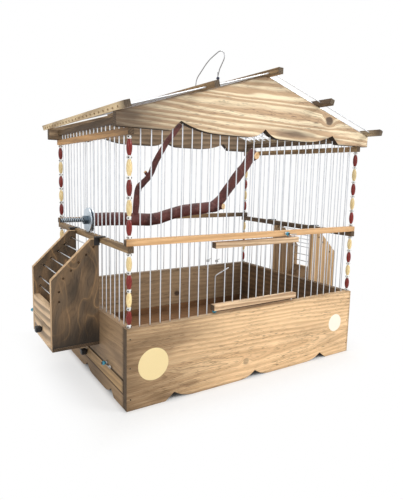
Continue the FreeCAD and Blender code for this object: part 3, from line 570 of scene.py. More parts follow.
def lath(name, spans, axis, body, slot, finishes, *replaced):
    # Square sticks between two corners, hand-planed, so their edges wander by a hair.
    run = "XYZ".index(axis)
    sides = [i for i in range(3) if i != run]
    shape = bmesh.new()
    for low, high in spans:
        stations = 9
        rings = []
        for i in range(stations):
            ring = []
            for a, b in ((0, 0), (1, 0), (1, 1), (0, 1)):
                corner = Vector((0, 0, 0))
                corner[run] = low[run] + (high[run] - low[run]) * i / (stations - 1)
                corner[sides[0]] = (low, high)[a][sides[0]]
                corner[sides[1]] = (low, high)[b][sides[1]]
                shift = noise.noise_vector(corner * 55.0) * 0.00012
                shift[run] = 0
                ring.append(shape.verts.new(corner + shift))
            rings.append(ring)
        for lower, upper in zip(rings, rings[1:]):
            for j in range(4):
                k = (j + 1) % 4
                shape.faces.new((lower[j], lower[k], upper[k], upper[j]))
        shape.faces.new(rings[0])
        shape.faces.new(rings[-1])
    bmesh.ops.recalc_face_normals(shape, faces=shape.faces[:])
    mesh = bpy.data.meshes.new(name)
    shape.to_mesh(mesh)
    shape.free()
    for finish in finishes:
        mesh.materials.append(finish)
    sort_faces(mesh, axis)
    piece = add_object(name, mesh)
    ease(piece, 0.5)
    return settle(piece, body, slot, *replaced)


def corners(node):
    # Lowest and highest corner of each solid of a node.
    return [(Vector(points.min(axis=0)), Vector(points.max(axis=0))) for points in solids(node)]


# Patterns: round wire along a path, and beads on their places


def pattern(name, inlets):
    group = bpy.data.node_groups.new(name, "GeometryNodeTree")
    group.interface.new_socket("Geometry", in_out="OUTPUT", socket_type="NodeSocketGeometry")
    for label, kind in (("Geometry", "Geometry"), *inlets, ("Finish", "Material")):
        group.interface.new_socket(label, in_out="INPUT", socket_type="NodeSocket" + kind)
    graph = Graph(group)
    source = group.nodes.new("NodeGroupInput")
    graph.inlet = {socket.name: Value(graph, socket) for socket in source.outputs if socket.name}
    return graph


def close_pattern(graph, geometry):
    smooth = graph.node("GeometryNodeSetShadeSmooth", {}, {"Geometry": geometry})
    whole = graph.node("GeometryNodeRealizeInstances", {}, {"Geometry": smooth})
    finished = graph.node("GeometryNodeSetMaterial", {},
                          {"Geometry": whole, "Material": graph.inlet["Finish"]})
    outlet = graph.tree.nodes.new("NodeGroupOutput")
    graph.tree.links.new(finished.socket, outlet.inputs["Geometry"])
    return graph.tree


def wire_pattern():
    graph = pattern("round wire", (("Radius", "Float"), ("Sides", "Int")))
    path = graph.node("GeometryNodeMeshToCurve", {}, {"Mesh": graph.inlet["Geometry"]})
    bend = graph.node("GeometryNodeInputNamedAttribute", {"data_type": "FLOAT"}, {"Name": "bend"})
    path = graph.node("GeometryNodeFilletCurve", {"mode": "POLY"},
                      {"Curve": path, "Count": 8, "Radius": bend, "Limit Radius": True})
    profile = graph.node("GeometryNodeCurvePrimitiveCircle", {"mode": "RADIUS"},
                         {"Resolution": graph.inlet["Sides"], "Radius": graph.inlet["Radius"]})
    wire = graph.node("GeometryNodeCurveToMesh", {},
                      {"Curve": path, "Profile Curve": profile, "Fill Caps": True})
    return close_pattern(graph, wire)


def bead_pattern():
    # A swelling bead on each point: its axis gives direction and length.
    graph = pattern("strung bead", (("Axis", "Vector"), ("Diameter", "Float"), ("End Share", "Float"),
                                    ("Fullness", "Float"), ("Sides", "Int"), ("Seed", "Int")))
    halves = []
    for half in (-0.5, 0.5):
        halves.append(graph.node("ShaderNodeVectorMath", {"operation": "SCALE"},
                                 {0: graph.inlet["Axis"], "Scale": half}))
    string = graph.node("GeometryNodeCurvePrimitiveLine", {"mode": "POINTS"},
                        {"Start": halves[0], "End": halves[1]})
    string = graph.node("GeometryNodeResampleCurve", {"mode": "COUNT"}, {"Curve": string, "Count": 9})
    run = graph.node("GeometryNodeSplineParameter", {}, {}, "Factor")
    swell = 1 - abs(run * 2.0 - 1.0) ** graph.inlet["Fullness"]
    size = graph.inlet["End Share"] + (1 - graph.inlet["End Share"]) * swell
    profile = graph.node("GeometryNodeCurvePrimitiveCircle", {"mode": "RADIUS"},
                         {"Resolution": graph.inlet["Sides"], "Radius": graph.inlet["Diameter"] * 0.5})
    bead = graph.node("GeometryNodeCurveToMesh", {},
                      {"Curve": string, "Profile Curve": profile, "Scale": size, "Fill Caps": True})
    chance = graph.node("FunctionNodeRandomValue", {"data_type": "FLOAT"},
                        {2: 0.0, 3: 1.0, "Seed": graph.inlet["Seed"]}, 1)
    row = graph.node("GeometryNodeInstanceOnPoints", {},
                     {"Points": graph.inlet["Geometry"], "Instance": bead})
    row = graph.node("GeometryNodeStoreNamedAttribute", {"data_type": "FLOAT", "domain": "INSTANCE"},
                     {"Geometry": row, "Name": "tone", "Value": chance})
    return close_pattern(graph, row)


ROUND_WIRE = wire_pattern()
STRUNG_BEAD = bead_pattern()


def grown(name, group, points, edges, bends, **inputs):
    # Runs a pattern on points and edges and keeps its result as a plain mesh.
    seed_mesh = bpy.data.meshes.new(name)
    seed_mesh.from_pydata(points, edges, [])
    bend = seed_mesh.attributes.new("bend", "FLOAT", "POINT")
    bend.data.foreach_set("value", bends)
    carrier = add_object(name, seed_mesh)
    modifier = carrier.modifiers.new("pattern", "NODES")
    modifier.node_group = group
    for item in group.interface.items_tree:
        label = item.name.replace(" ", "_")
        if item.in_out == "INPUT" and label in inputs:
            modifier[item.identifier] = inputs[label]
    depsgraph = bpy.context.evaluated_depsgraph_get()
    mesh = bpy.data.meshes.new_from_object(carrier.evaluated_get(depsgraph), depsgraph=depsgraph)
    mesh.name = name
    carrier.modifiers.remove(modifier)
    carrier.data = mesh
    return carrier


def wires(name, paths, radius, finish, sides=10):
    # Round wires, each along its own path of (point, bend radius) pairs in metres.
    points = []
    edges = []
    bends = []
    for path in paths:
        first = len(points)
        points.extend(point for point, bend in path)
        bends.extend(bend for point, bend in path)
        edges.extend((first + i, first + i + 1) for i in range(len(path) - 1))
    return grown(name, ROUND_WIRE, points, edges, bends, Radius=radius / 1000, Sides=sides, Finish=finish)


def beads(name, places, axis, diameter, end_share, finish, seed, fullness=2.2, sides=14):
    return grown(name, STRUNG_BEAD, places, [], [0.0] * len(places), Axis=axis, Diameter=diameter / 1000,
                 End_Share=end_share, Fullness=fullness, Sides=sides, Seed=seed, Finish=finish)


def straight(node):
    # A node's wires as paths; those of the roof are let a little deeper into their battens.
    sunk = Vector((0, 0, -0.0008 if "roof" in node else 0))
    return [[(low + sunk, 0.0), (high + sunk, 0.0)] for low, high in map(wire_ends, solids(node))]


# Base box and tray


def knob(name, node, body, side):
    # A painted cube, a little smaller than its block, with its foot on the board.
    piece = shaped(name, node, body, "black_wood", [BLACK_PAINT], None, 0.5)
    low, high = corners(node)[0]
    foot = (low + high) / 2
    foot.x = low.x if side > 0 else high.x
    for vert in piece.data.vertices:
        vert.co = foot + (vert.co - foot) * KNOB_SHARE


shaped("front_board", "base_front_board", "cage", "pine", [FRONT_PINE, DARK_END_X, CHARRED], "X", 0.7)
shaped("back_board", "base_back_board", "cage", "pine", [BACK_PINE, DARK_END_X, CHARRED], "X", 0.7)
shaped("left_end", "left_end_board", "cage", "pine", [END_PINE, DARK_END_Y, CHARRED], "Y", 0.6)
shaped("left_apron_board", "left_apron", "cage", "pine", [END_PINE, DARK_END_Y, CHARRED], "Y", 0.6)
shaped("right_end", "right_end_board", "cage", "pine", [SHADED_END_BOARD, DARK_END_Y, CHARRED], "Y", 0.6)
shaped("runners", "tray_runners", "cage", "pine", [TRAY_PINE, DARK_END_X], "X", 0.4)
shaped("tray_lip", "tray_front", "tray", "pine", [TRAY_LIP_PINE, DARK_END_Y], "Y", 0.5)
shaped("tray_bottom", "tray_floor", "tray", "pine", [TRAY_PINE, DARK_END_X], "X", 0.4)
shaped("tray_edges", "tray_rims", "tray", "pine", [TRAY_PINE], None, 0.4)
knob("tray_pull", "tray_knob", "tray", -1)

# Rails, strips, gables and battens


def side_sticks(name, node, left_finish, right_finish):
    for hand, side, finish in (("left", -1, left_finish), ("right", 1, right_finish)):
        spans = [span for span in corners(node) if span[0].x * side > 0]
        lath(f"{hand}_{name}", spans, "Y", "cage", "pine", [finish, DARK_END_Y], node)


lath("front_rail", corners("front_mid_rail"), "X", "cage", "pine", [RAIL_PINE, DARK_END_X], "front_mid_rail")
lath("back_rail", corners("back_mid_rail"), "X", "cage", "pine", [STICK_PINE_X, DARK_END_X], "back_mid_rail")
side_sticks("side_rail", "side_mid_rails", STICK_PINE_Y, SHADED_STICK_Y)
side_sticks("upper_rail", "side_top_rails", UPPER_PINE, STICK_PINE_Y)
side_sticks("eave_stick", "eave_strips", SHADED_STICK_Y, SHADED_STICK_Y)
shaped("gable_front", "front_gable", "cage", "pine", [GABLE_PINE, DARK_END_X, CHARRED], "X", 0.6)
shaped("gable_rear", "rear_gable", "cage", "pine", [SHADED_REAR_GABLE_PINE, DARK_END_X, CHARRED], "X", 0.6)
lath("ridge_stick", corners("ridge_batten"), "Y", "cage", "pine", [BATTEN_PINE, BATTEN_END], "ridge_batten")
shaped("middle_battens", "mid_battens", "cage", "pine", [BATTEN_PINE, BATTEN_END], "Y", 0.5)
shaped("lower_battens", "eave_battens", "cage", "pine", [EAVE_PINE, BATTEN_END], "Y", 0.5)

# Wires of the walls, the roof and the feeders

CAGE_WIRE_NODES = ("front_wires", "back_wires", "left_wires", "right_wires", "corner_wires",
                   "left_roof_wires", "right_roof_wires", "door_hinge_wire", "feeder_bars")
cage_paths = []
for wire_node in CAGE_WIRE_NODES:
    cage_paths.extend(straight(wire_node))
settle(wires("cage_wires", cage_paths, WIRE_RADIUS, ZINC_WIRE), "cage", "wire", *CAGE_WIRE_NODES)
settle(wires("door_uprights", straight("door_wires"), WIRE_RADIUS, ZINC_WIRE), "door", "wire", "door_wires")


def set_ends(name, ends, outward, finish, diameter):
    # Rings round the wire ends that show at the face of a board, darker than the wood round them: painted
    # shade of the holes the wires sit in, and on the feeder bars burnt wood as well.
    places = [end - outward * 0.0003 for end in ends]
    settle(beads(name, places, outward * 0.001, diameter, 0.8, finish, 21, 4.0, 10), "cage", "dark_pine")


for hand in ("left", "right"):
    paths = straight(hand + "_roof_wires")
    spans = [sorted((path[0][0], path[1][0]), key=lambda end: end.z) for path in paths]
    downhill = (spans[0][0] - spans[0][1]).normalized()
    set_ends(hand + "_eave_wire_ends", [low for low, high in spans], downhill, PALE_RING, 2.1)
bar_spans = [sorted(wire_ends(points), key=lambda end: end.y) for points in solids("feeder_bars")]
set_ends("front_bar_ends", [front for front, rear in bar_spans], Vector((0, -1, 0)), BURNT_AND_SHADED_RING, 2.5)
set_ends("rear_bar_ends", [rear for front, rear in bar_spans], Vector((0, 1, 0)), BURNT_AND_SHADED_RING, 2.5)


def wire_tie(x, level):
    # A few turns of thin wire round an upright of the front wall.
    path = []
    radius = 1.45
    pitch = 0.95
    steps_per_turn = 12
    for i in range(3 * steps_per_turn + 1):
        turn = 2 * math.pi * i / steps_per_turn
        height = level + i / steps_per_turn * pitch
        path.append((mm(x + radius * math.cos(turn), FRONT_WIRE_Y + radius * math.sin(turn), height), 0.0))
    path.append((path[-1][0] + mm(2.2, -0.6, 0.8), 0.0))
    return path


ties = [wire_tie(-73.07, 154.0), wire_tie(LATCH_X, 152.6)]
settle(wires("wire_ties", ties, 0.42, STEEL_WIRE, 6), "cage", "wire")

# Beads on the corner posts


def corner_beads(name, node, diameter, end_share, finish, slot, seed, fullness):
    spans = corners(node)
    groups = {}
    for low, high in spans:
        length = round((high.z - low.z) * 10000) / 10000
        groups.setdefault(length, []).append((low + high) / 2)
    for i, length in enumerate(sorted(groups)):
        row = beads(
            f"{name}_{i + 1}", groups[length], (0, 0, length), diameter, end_share, finish, seed + i,
            fullness)
        settle(row, "cage", slot, node)


corner_beads("red_corner_beads", "red_beads", 6.2, 0.5, RED_GLAZE, "red_bead", 3, 2.4)
corner_beads("cream_corner_beads", "cream_beads", 6.2, 0.5, CREAM_GLAZE, "cream_bead", 5, 2.4)
corner_beads("pale_spacers", "spacer_beads", 5.2, 0.62, PALE_GLAZE, "pale_bead", 8, 2.4)
spacer_middles = [(low + high) / 2 for low, high in corners("spacer_beads")]
for which, way in (("near", 1), ("far", -1)):
    # Dark dots on the spacers: painted shade of their stringing holes.
    dots = beads(
        f"{which}_spacer_dots", spacer_middles, (0.0038, 0.0038 * way, 0), 1.9, 0.9, NAIL_STEEL, 9, 4.0, 8)
    settle(dots, "cage", "pale_bead")

# Door, its latch, and the two nail catches

lath("door_sticks", corners("door_lower_stick") + corners("door_upper_stick"), "X", "door", "pine",
     [DOOR_PINE, DARK_END_X], "door_lower_stick", "door_upper_stick")

latch_foot = mm(LATCH_X, LATCH_Y, 91.6)
latch_knee = mm(LATCH_X, LATCH_Y, 136.0)
latch_tip = mm(LATCH_X + 19.0, LATCH_Y, 144.0)
latch = wires(
    "door_latch_wire", [[(latch_foot, 0.0), (latch_knee, 0.0032), (latch_tip, 0.0)]], 0.66, STEEL_WIRE)
settle(latch, "door_latch_arm", "wire", "door_latch")
latch_bead = beads(
    "door_latch_bead", [mm(LATCH_X, LATCH_Y, 93.0)], (0, 0, 0.0032), 5.2, 0.6, TEAL_GLAZE, 11, 2.0)
settle(latch_bead, "door_latch_arm", "teal_bead")


def coil(centre, out, side, lift, tail, radius=1.52, pitch=1.3):
    # Two turns of wire round a nail that points out, then a straight tail along the side direction.
    up = out.cross(side)
    path = []
    turns = 2
    steps = 14 * turns
    for i in range(steps + 1):
        turn = 2 * math.pi * turns * i / steps - math.pi / 2
        round_nail = side * math.cos(turn) + up * math.sin(turn)
        path.append((centre + out * ((lift + pitch * i / steps) / 1000) + round_nail * (radius / 1000), 0.0))
    last = path[-1][0]
    path.append((last + side * (tail / 1000), 0.0))
    return path


FRONT = Vector((0, -1, 0))
LEFT = Vector((-1, 0, 0))
RIGHT = Vector((1, 0, 0))
UP = Vector((0, 0, 1))
door_nail = mm(41.5, -127.5, 181.9)
tray_nail = mm(-END_FACE, -73.0, 35.7)
catch = wires("door_catch_wire", [coil(door_nail, FRONT, RIGHT, 0.8, 17.4)], 0.65, STEEL_WIRE, 8)
settle(catch, "door_catch_arm", "wire", "door_catch")

tray_path = coil(tray_nail, LEFT, FRONT, 0.8, 13.6)
eye_start = tray_path[-1][0]
eye_centre = eye_start + UP * 0.0016
for step in range(1, 17):
    turn = 2 * math.pi * step / 16
    spoke = FRONT * (math.sin(turn) * 0.0016) - UP * (math.cos(turn) * 0.0016)
    tray_path.append((eye_centre + spoke + LEFT * (0.00004 * step), 0.0))
tray_catch = wires("tray_latch_wire", [tray_path], 0.65, STEEL_WIRE, 8)
settle(tray_catch, "tray_latch_arm", "wire", "tray_latch")

nail_paths = []
for nail, out in ((door_nail, FRONT), (tray_nail, LEFT)):
    nail_paths.append([(nail - out * 0.005, 0.0), (nail + out * 0.0071, 0.0)])
settle(wires("catch_nails", nail_paths, 0.8, NAIL_STEEL), "cage", "wire", "latch_nails")
for which, nail, out in (("door_catch", door_nail, FRONT), ("tray_latch", tray_nail, LEFT)):
    bead = beads(which + "_bead", [nail + out * 0.0047], out * 0.0036, 5.0, 0.66, TEAL_GLAZE, 12, 2.0)
    settle(bead, "cage", "teal_bead", "latch_beads")
    head = beads(
        which + "_nail_head", [nail + out * 0.0068], out * 0.0009, 3.0, 0.55, NAIL_STEEL, 13, 3.0, 12)
    settle(head, "cage", "wire")

# Feeder boxes


def feeder_panels(side, node):
    # Two five-sided panels with round holes that the bar ends sit in.
    bars = [wire_ends(points)[0] for points in solids("feeder_bars")]
    places = [(bar.x * 1000, bar.z * 1000) for bar in bars if bar.x * side > 0]
    outline = [(END_FACE, FEEDER_FLOOR), (END_FACE, FEEDER_TOP), (FEEDER_LEDGE, FEEDER_TOP),
               (FEEDER_OUT, FEEDER_SHOULDER), (FEEDER_OUT, FEEDER_FLOOR)]
    outline = [(side * x, z) for x, z in outline]
    halves = []
    for middle in (-PANEL_MIDDLE, PANEL_MIDDLE):
        flat = bpy.data.curves.new("panel outline", "CURVE")
        flat.dimensions = "2D"
        flat.fill_mode = "BOTH"
        flat.extrude = PANEL_HALF_THICKNESS / 1000
        loops = [outline]
        for x, z in places:
            turns = [math.pi * step / 8 for step in range(16)]
            loops.append([(x + BAR_HOLE_RADIUS * math.cos(turn), z + BAR_HOLE_RADIUS * math.sin(turn))
                          for turn in turns])
        for loop in loops:
            spline = flat.splines.new("POLY")
            spline.points.add(len(loop) - 1)
            for point, (x, z) in zip(spline.points, loop):
                point.co = (x / 1000, z / 1000, 0, 1)
            spline.use_cyclic_u = True
        carrier = add_object("panel outline", flat)
        depsgraph = bpy.context.evaluated_depsgraph_get()
        mesh = bpy.data.meshes.new_from_object(carrier.evaluated_get(depsgraph), depsgraph=depsgraph)
        bpy.data.objects.remove(carrier)
        stand = Matrix(((1, 0, 0, 0), (0, 0, -1, middle / 1000), (0, 1, 0, 0), (0, 0, 0, 1)))
        mesh.transform(stand)
        halves.append(mesh)
    shape = bmesh.new()
    for mesh in halves:
        shape.from_mesh(mesh)
    bmesh.ops.remove_doubles(shape, verts=shape.verts[:], dist=1e-6)
    bmesh.ops.recalc_face_normals(shape, faces=shape.faces[:])
    mesh = bpy.data.meshes.new(node + "_boards")
    shape.to_mesh(mesh)
    shape.free()
    for finish in (PANEL_PINE if side < 0 else PALE_PANEL_PINE, PANEL_EDGE, CHARRED):
        mesh.materials.append(finish)
    for face in mesh.polygons:
        face.material_index = 0 if abs(face.normal.y) > 0.5 else 2 if face.normal.z < -0.5 else 1
        for x, z in places:
            if math.hypot(face.center.x * 1000 - x, face.center.z * 1000 - z) < 1.6:
                face.material_index = 2
    piece = add_object(node + "_boards", mesh)
    ease(piece, 0.45)
    return settle(piece, "cage", "dark_pine", node)


for side, hand in ((-1, "left"), (1, "right")):
    feeder_panels(side, hand + "_feeder_panels")
    shaped(
        hand + "_feeder_front", hand + "_feeder_boards", "cage", "dark_pine",
        [FEEDER_PINE, DARK_END_Y, CHARRED], "Y", 0.5)
    shaped(
        hand + "_drawer_body", hand + "_drawer", hand + "_drawer_box", "dark_pine",
        [FEEDER_PINE, DARK_END_Y], "Y", 0.4)
    knob(hand + "_drawer_pull", hand + "_drawer_knob", hand + "_drawer_box", side)
    tip = mm(side * LOCK_X, LOCK_TIP, LOCK_LEVEL)
    grip_place = mm(side * LOCK_X, LOCK_GRIP, LOCK_LEVEL)
    pin = wires(hand + "_lock_wire", [[(tip, 0.0), (grip_place, 0.0)]], 1.0, ZINC_WIRE)
    settle(pin, hand + "_lock", "wire", hand + "_lock_pin")
    grip = beads(hand + "_lock_bead", [grip_place], (0, 0.004, 0), 5.0, 0.66, TEAL_GLAZE, 14, 2.0)
    settle(grip, hand + "_lock", "teal_bead")
shaped("hangers", "feeder_hangers", "cage", "black_metal", [BLACK_METAL], None, 0.25)

# Carrying bail

BAIL_BENDS = ((39.1, BAIL_AXIS, 0.0), (32.36, BAIL_AXIS, 0.00288), (29.26, 390.86, 0.0144),
              (-1.2, 410.66, 0.0749), (-30.5, 418.56, 0.015), (-40.6, 412.46, 0.008), (-39.6, 405.46, 0.0063),
              (-29.6, 394.46, 0.0098), (-25.94, 386.06, 0.0058), (-25.94, BAIL_AXIS, 0.00288),
              (-18.9, BAIL_AXIS, 0.0))
bail_path = [(mm(0, y, z), bend) for y, z, bend in BAIL_BENDS]
bail_tail = [(mm(0.9, -25.3, 379.6), 0.0), (mm(0.9, -24.2, 387.2), 0.002), (mm(0.2, -25.0, 391.2), 0.0)]
settle(wires("bail_wire", [bail_path, bail_tail], 0.72, BAIL_WIRE), "bail_loop", "wire", "bail")
bail_bead = beads(
    "bail_bead", [mm(0, -25.94, BAIL_AXIS + 5.6)], (0, 0, 0.0036), 4.6, 0.66, NAVY_GLAZE, 15, 2.0)
settle(bail_bead, "bail_loop", "teal_bead")
eye_paths = []
for y in (36.5, -21.5):
    ring = []
    for i in range(25):
        turn = 2 * math.pi * (i / 24) - math.pi / 2
        ring.append((mm(1.62 * math.cos(turn), y - 0.5 + i / 24, BAIL_AXIS + 1.62 * math.sin(turn)), 0.0))
    eye_paths.append([(mm(0, y - 0.5, 369.8), 0.0)] + ring)
settle(wires("bail_staples", eye_paths, 0.6, STEEL_WIRE, 8), "cage", "wire", "bail_eyes")

# Perch


def on_perch(x, rise):
    return mm(PERCH_START + x * PERCH_REACH / 100, 0, PERCH_LEVEL + rise * PERCH_REACH / 100)


def smooth_run(points, sizes, steps):
    # Points and sizes along a soft curve through the given ones.
    run = []
    last = len(points) - 1
    for i in range(last):
        p0 = points[max(i - 1, 0)]
        p1 = points[i]
        p2 = points[i + 1]
        p3 = points[min(i + 2, last)]
        for s in range(steps):
            t = s / steps
            a = 2 * p1
            b = p2 - p0
            c = 2 * p0 - 5 * p1 + 4 * p2 - p3
            d = 3 * p1 - p0 - 3 * p2 + p3
            point = (a + b * t + c * t * t + d * t * t * t) * 0.5
            run.append((point, sizes[i] + (sizes[i + 1] - sizes[i]) * t))
    run.append((points[-1], sizes[-1]))
    return run


def grow_limb(branch, points, sizes, level_start=False, cut_end=None):
    # A limb with uneven bark and a pale cut at each end; cut_end is the slant of the saw at the far end.
    run = smooth_run(points, sizes, 9)
    sides = 20
    shape = bmesh.new()
    rings = []
    reference = Vector((0, 1, 0))
    for i, (point, size) in enumerate(run):
        ahead = run[min(i + 1, len(run) - 1)][0]
        behind = run[max(i - 1, 0)][0]
        along = Vector((1, 0, 0)) if level_start and i == 0 else (ahead - behind).normalized()
        up = along.cross(reference).normalized()
        side = up.cross(along)
        ring = []
        for j in range(sides):
            turn = 2 * math.pi * j / sides
            spoke = side * math.cos(turn) + up * math.sin(turn)
            spot = point + spoke * (size / 1000)
            swell = 1 + 0.09 * noise.noise(spot * 60) + 0.045 * noise.noise(spot * 170) - 0.02
            ring.append(shape.verts.new(point + spoke * (size * swell / 1000)))
        rings.append(ring)
    for lower, upper in zip(rings, rings[1:]):
        for j in range(sides):
            k = (j + 1) % sides
            shape.faces.new((lower[j], lower[k], upper[k], upper[j]))
    saw_cuts = [shape.faces.new(rings[0])]
    if cut_end:
        last, size = run[-1]
        slant = Vector(cut_end).normalized()
        lean = abs((run[-1][0] - run[-2][0]).normalized().dot(slant))
        back = size / 1000 * math.tan(math.acos(lean))
        place = last - (run[-1][0] - run[-2][0]).normalized() * back
        whole = shape.verts[:] + shape.edges[:] + shape.faces[:]
        bmesh.ops.bisect_plane(shape, geom=whole, plane_co=place, plane_no=slant, clear_outer=True)
        open_edges = [edge for edge in shape.edges if edge.is_boundary]
        saw_cuts.extend(bmesh.ops.holes_fill(shape, edges=open_edges)["faces"])
    else:
        saw_cuts.append(shape.faces.new(rings[-1]))
    for face in saw_cuts:
        face.material_index = 1
    bmesh.ops.recalc_face_normals(shape, faces=shape.faces[:])
    limb = bpy.data.meshes.new("limb")
    shape.to_mesh(limb)
    shape.free()
    branch.from_mesh(limb)
    bpy.data.meshes.remove(limb)


def make_branch():
    trunk_radius = 8.3
    branch = bmesh.new()
    # Each limb: places along and above the perch, and its thickness there as a share of the trunk's
    trunk = ((0, 0, 1.03), (11.8, 0, 1.04), (21.3, -0.4, 1.03), (33.9, -0.8, 1), (44.1, 1.6, 0.96),
             (51.2, 3.1, 1), (63, 4.3, 1.03), (73, 5.2, 0.95), (77.6, 6.6, 0.7))
    main = ((71.2, 5.1, 0.8), (76.8, 9.2, 0.9), (80.5, 13.6, 0.88), (84.9, 18.6, 0.9), (89.5, 24, 0.92),
            (95, 30, 0.86), (100.3, 38.2, 0.8))
    thin = ((23.4, 0, 0.52), (24.8, 14.2, 0.52), (27.4, 17.9, 0.5), (31.6, 22.4, 0.48), (35.2, 30, 0.5),
            (40.6, 38.8, 0.46), (45.1, 44.4, 0.46), (49.4, 49.6, 0.42))
    for limb in (trunk, main, thin):
        places = [on_perch(x, rise) for x, rise, share in limb]
        grow_limb(branch, places, [trunk_radius * share for x, rise, share in limb], limb is trunk)
    # Stubs of side twigs, sawn short
    for root, way, size, cut_end in ((on_perch(75.5, 5.4), (3, -9.5, 0.6), 4.8, None),
                                     (on_perch(97.2, 33.4), (13.2, -9.5, 7.6), 5.9, (0.25, -0.96, 0.1)),
                                     (on_perch(24.8, 13), (2.6, -0.6, 12), 4.1, (0.2, -0.4, 0.9)),
                                     (on_perch(30.7, 21.8), (-5.2, -1.4, 6.0), 2.4, None)):
        tip = root + mm(*way)
        grow_limb(branch, [root, (root + tip) / 2, tip], [size, size * 0.96, size * 0.9], False, cut_end)
    mesh = bpy.data.meshes.new("forked_branch")
    branch.to_mesh(mesh)
    branch.free()
    mesh.materials.append(BARK)
    mesh.materials.append(CUT_BRANCH)
    mesh.shade_smooth()
    mesh.set_sharp_from_angle(angle=math.radians(50))
    return settle(add_object("forked_branch", mesh), "cage", "bark", "perch_branch")


make_branch()
shaped("branch_nut", "perch_nut", "cage", "zinc", [NUT_STEEL], None, 0.4)
shaped("branch_washers", "perch_washers", "cage", "zinc", [PLATED], None, 0.3)
bolt_low, bolt_high = corners("perch_bolt")[0]
bolt_middle = (bolt_low + bolt_high) / 2
bolt_paths = [[(Vector((bolt_low.x, 0, bolt_middle.z)), 0.0), (Vector((bolt_high.x, 0, bolt_middle.z)), 0.0)]]
settle(wires("branch_bolt", bolt_paths, 2.3, DARK_THREAD, 14), "cage", "zinc", "perch_bolt")
thread = []
thread_pitch = 0.0023
turns = int((bolt_high.x - bolt_low.x - 0.0012) / thread_pitch)
for i in range(turns * 12):
    turn = 2 * math.pi * i / 12
    x = bolt_low.x + 0.0006 + i / 12 * thread_pitch
    thread.append((Vector((x, 0.0023 * math.cos(turn), bolt_middle.z + 0.0023 * math.sin(turn))), 0.0))
settle(wires("bolt_thread", [thread], 0.62, PLATED, 4), "cage", "zinc")

# Nail heads and the two blank labels on the boards

nail_places = []
for x in (-170.6, 170.6):
    for z in (13, 48, 80):
        nail_places.append(mm(x + 0.4 * math.sin(z), FRONT_FACE, z))
settle(
    beads("front_nail_heads", nail_places, (0, -0.0006, 0), 1.6, 0.5, NAIL_STEEL, 16, 2.5, 10), "cage",
    "wire")


def paper_label(name, x, z, diameter, finish):
    # A round paper label, its rim pressed down on the wood.
    shape = bmesh.new()
    rings = []
    for share, lift in ((1.0, -0.02), (0.995, 0.1), (0.93, 0.14), (0.5, 0.15)):
        radius = diameter / 2 * share
        ring = []
        for i in range(64):
            turn = 2 * math.pi * i / 64
            spot = mm(x + radius * math.cos(turn), FRONT_FACE - lift, z + radius * math.sin(turn))
            ring.append(shape.verts.new(spot))
        rings.append(ring)
    for outer, inner in zip(rings, rings[1:]):
        for i in range(64):
            k = (i + 1) % 64
            shape.faces.new((outer[i], outer[k], inner[k], inner[i]))
    shape.faces.new(rings[-1])
    shape.faces.new(rings[0])
    bmesh.ops.recalc_face_normals(shape, faces=shape.faces[:])
    mesh = bpy.data.meshes.new(name)
    shape.to_mesh(mesh)
    shape.free()
    mesh.materials.append(finish)
    settle(add_object(name, mesh), "cage", "pine")


paper_label("left_label", -143.5, 47.5, 36.6, KRAFT)
paper_label("right_label", 144.5, 48.0, 25.0, PALE_LABEL)

# Stage: floor, light and camera


def light_path(graph):
    # 1 where the camera, a reflection or glass looks at the stage, 0 for its light on the cage.
    seen = 0.0
    for name in ("Is Camera Ray", "Is Glossy Ray", "Is Transmission Ray"):
        ray = graph.node("ShaderNodeLightPath", {}, {}, name)
        seen = ray.math("MAXIMUM", ray, seen)
    return seen


def make_floor():
    finish = Finish("studio floor")
    point = finish.node("ShaderNodeTexCoord", {}, {}, "Object")
    mottle = finish.noise(point, 3.0, 2.0)
    colour = finish.mix(mottle, tint(244, 243, 241), tint(250, 249, 247))
    x, y = finish.axes()[:2]
    beyond_ends = abs(x) - END_FACE
    clear = beyond_ends.math("MAXIMUM", beyond_ends, abs(y) + FRONT_FACE)
    paper = finish.node("ShaderNodeBsdfPrincipled", {}, {"Base Color": colour, "Roughness": 0.85})
    glow = finish.node("ShaderNodeEmission", {}, {"Color": (1, 1, 1, 1), "Strength": 1.0})
    # The floor glows where the camera, a reflection or glass sees it: painted light that whitens it, weaker
    # within about 7 cm of the base and none under it, so a light shadow of the cage still shows.
    share = light_path(finish) * clear.step(-6.0, 8.0) * (clear.step(10.0, 70.0) * 0.34 + 0.66)
    surface = finish.node("ShaderNodeMixShader", {}, {0: share, 1: paper, 2: glow})
    finish.node("ShaderNodeOutputMaterial", {}, {"Surface": surface})
    mesh = bpy.data.meshes.new("studio_floor")
    half = 7.0
    edge = [(-half, -half, 0), (half, -half, 0), (half, half, 0), (-half, half, 0)]
    mesh.from_pydata(edge, [], [(0, 1, 2, 3)])
    mesh.materials.append(finish.material)
    add_object("studio_floor", mesh)


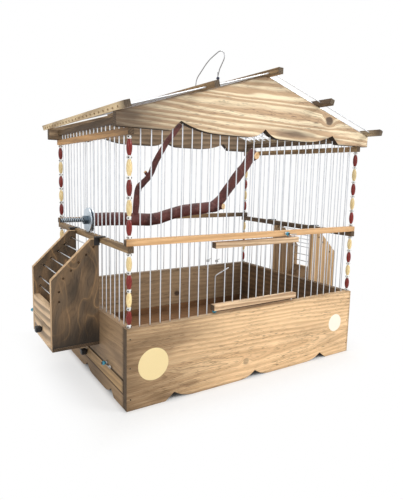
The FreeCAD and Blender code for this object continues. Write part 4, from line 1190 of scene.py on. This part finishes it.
def make_world():
    world = bpy.data.worlds.new("studio")
    world.use_nodes = True
    world.node_tree.nodes.clear()
    graph = Graph(world.node_tree)
    ambient = 0.5
    strength = light_path(graph) * (1 - ambient) + ambient
    sky = graph.node("ShaderNodeBackground", {}, {"Color": (1, 1, 1, 1), "Strength": strength})
    graph.node("ShaderNodeOutputWorld", {}, {"Surface": sky})
    bpy.context.scene.world = world


def softbox(name, place, aim, size, power):
    lamp = bpy.data.lights.new(name, "AREA")
    lamp.shape = "DISK"
    lamp.size = size
    lamp.energy = power
    stand = bpy.data.objects.new(name, lamp)
    stand.location = place
    stand.rotation_euler = (Vector(aim) - Vector(place)).to_track_quat("-Z", "Y").to_euler()
    bpy.context.scene.collection.objects.link(stand)


def make_camera():
    camera = bpy.data.cameras.new("photo camera")
    camera.sensor_fit = "VERTICAL"
    camera.sensor_height = SENSOR_HEIGHT
    camera.lens = FOCAL_PIXELS * SENSOR_HEIGHT / PHOTO_HEIGHT
    camera.shift_x = (PHOTO_WIDTH / 2 - CENTRE_PIXEL[0]) / PHOTO_HEIGHT
    camera.shift_y = (CENTRE_PIXEL[1] - PHOTO_HEIGHT / 2) / PHOTO_HEIGHT
    camera.clip_start = 0.01
    turn = math.radians(CAMERA_TURN)
    tilt = math.radians(CAMERA_TILT)
    roll = math.radians(CAMERA_ROLL)
    ahead = Vector((-math.sin(turn) * math.cos(tilt), math.cos(turn) * math.cos(tilt), -math.sin(tilt)))
    right = ahead.cross(UP).normalized()
    down = ahead.cross(right)
    across = right * math.cos(roll) + down * math.sin(roll)
    below = down * math.cos(roll) - right * math.sin(roll)
    basis = Matrix((across, -below, -ahead)).transposed().to_4x4()
    stand = bpy.data.objects.new("photo camera", camera)
    stand.matrix_world = Matrix.Translation(mm(*CAMERA_PLACE)) @ basis
    bpy.context.scene.collection.objects.link(stand)
    bpy.context.scene.camera = stand


make_floor()
make_world()
softbox("key light", (1.5, -1.5, 1.4), (0.05, -0.1, 0.2), 1.1, 28)
softbox("fill light", (-1.6, -1.1, 1.0), (-0.05, 0, 0.2), 1.4, 9)
softbox("top light", (0.3, 0.5, 1.9), (0, 0, 0.2), 1.2, 18)
make_camera()
bpy.context.scene.view_settings.view_transform = "Standard"
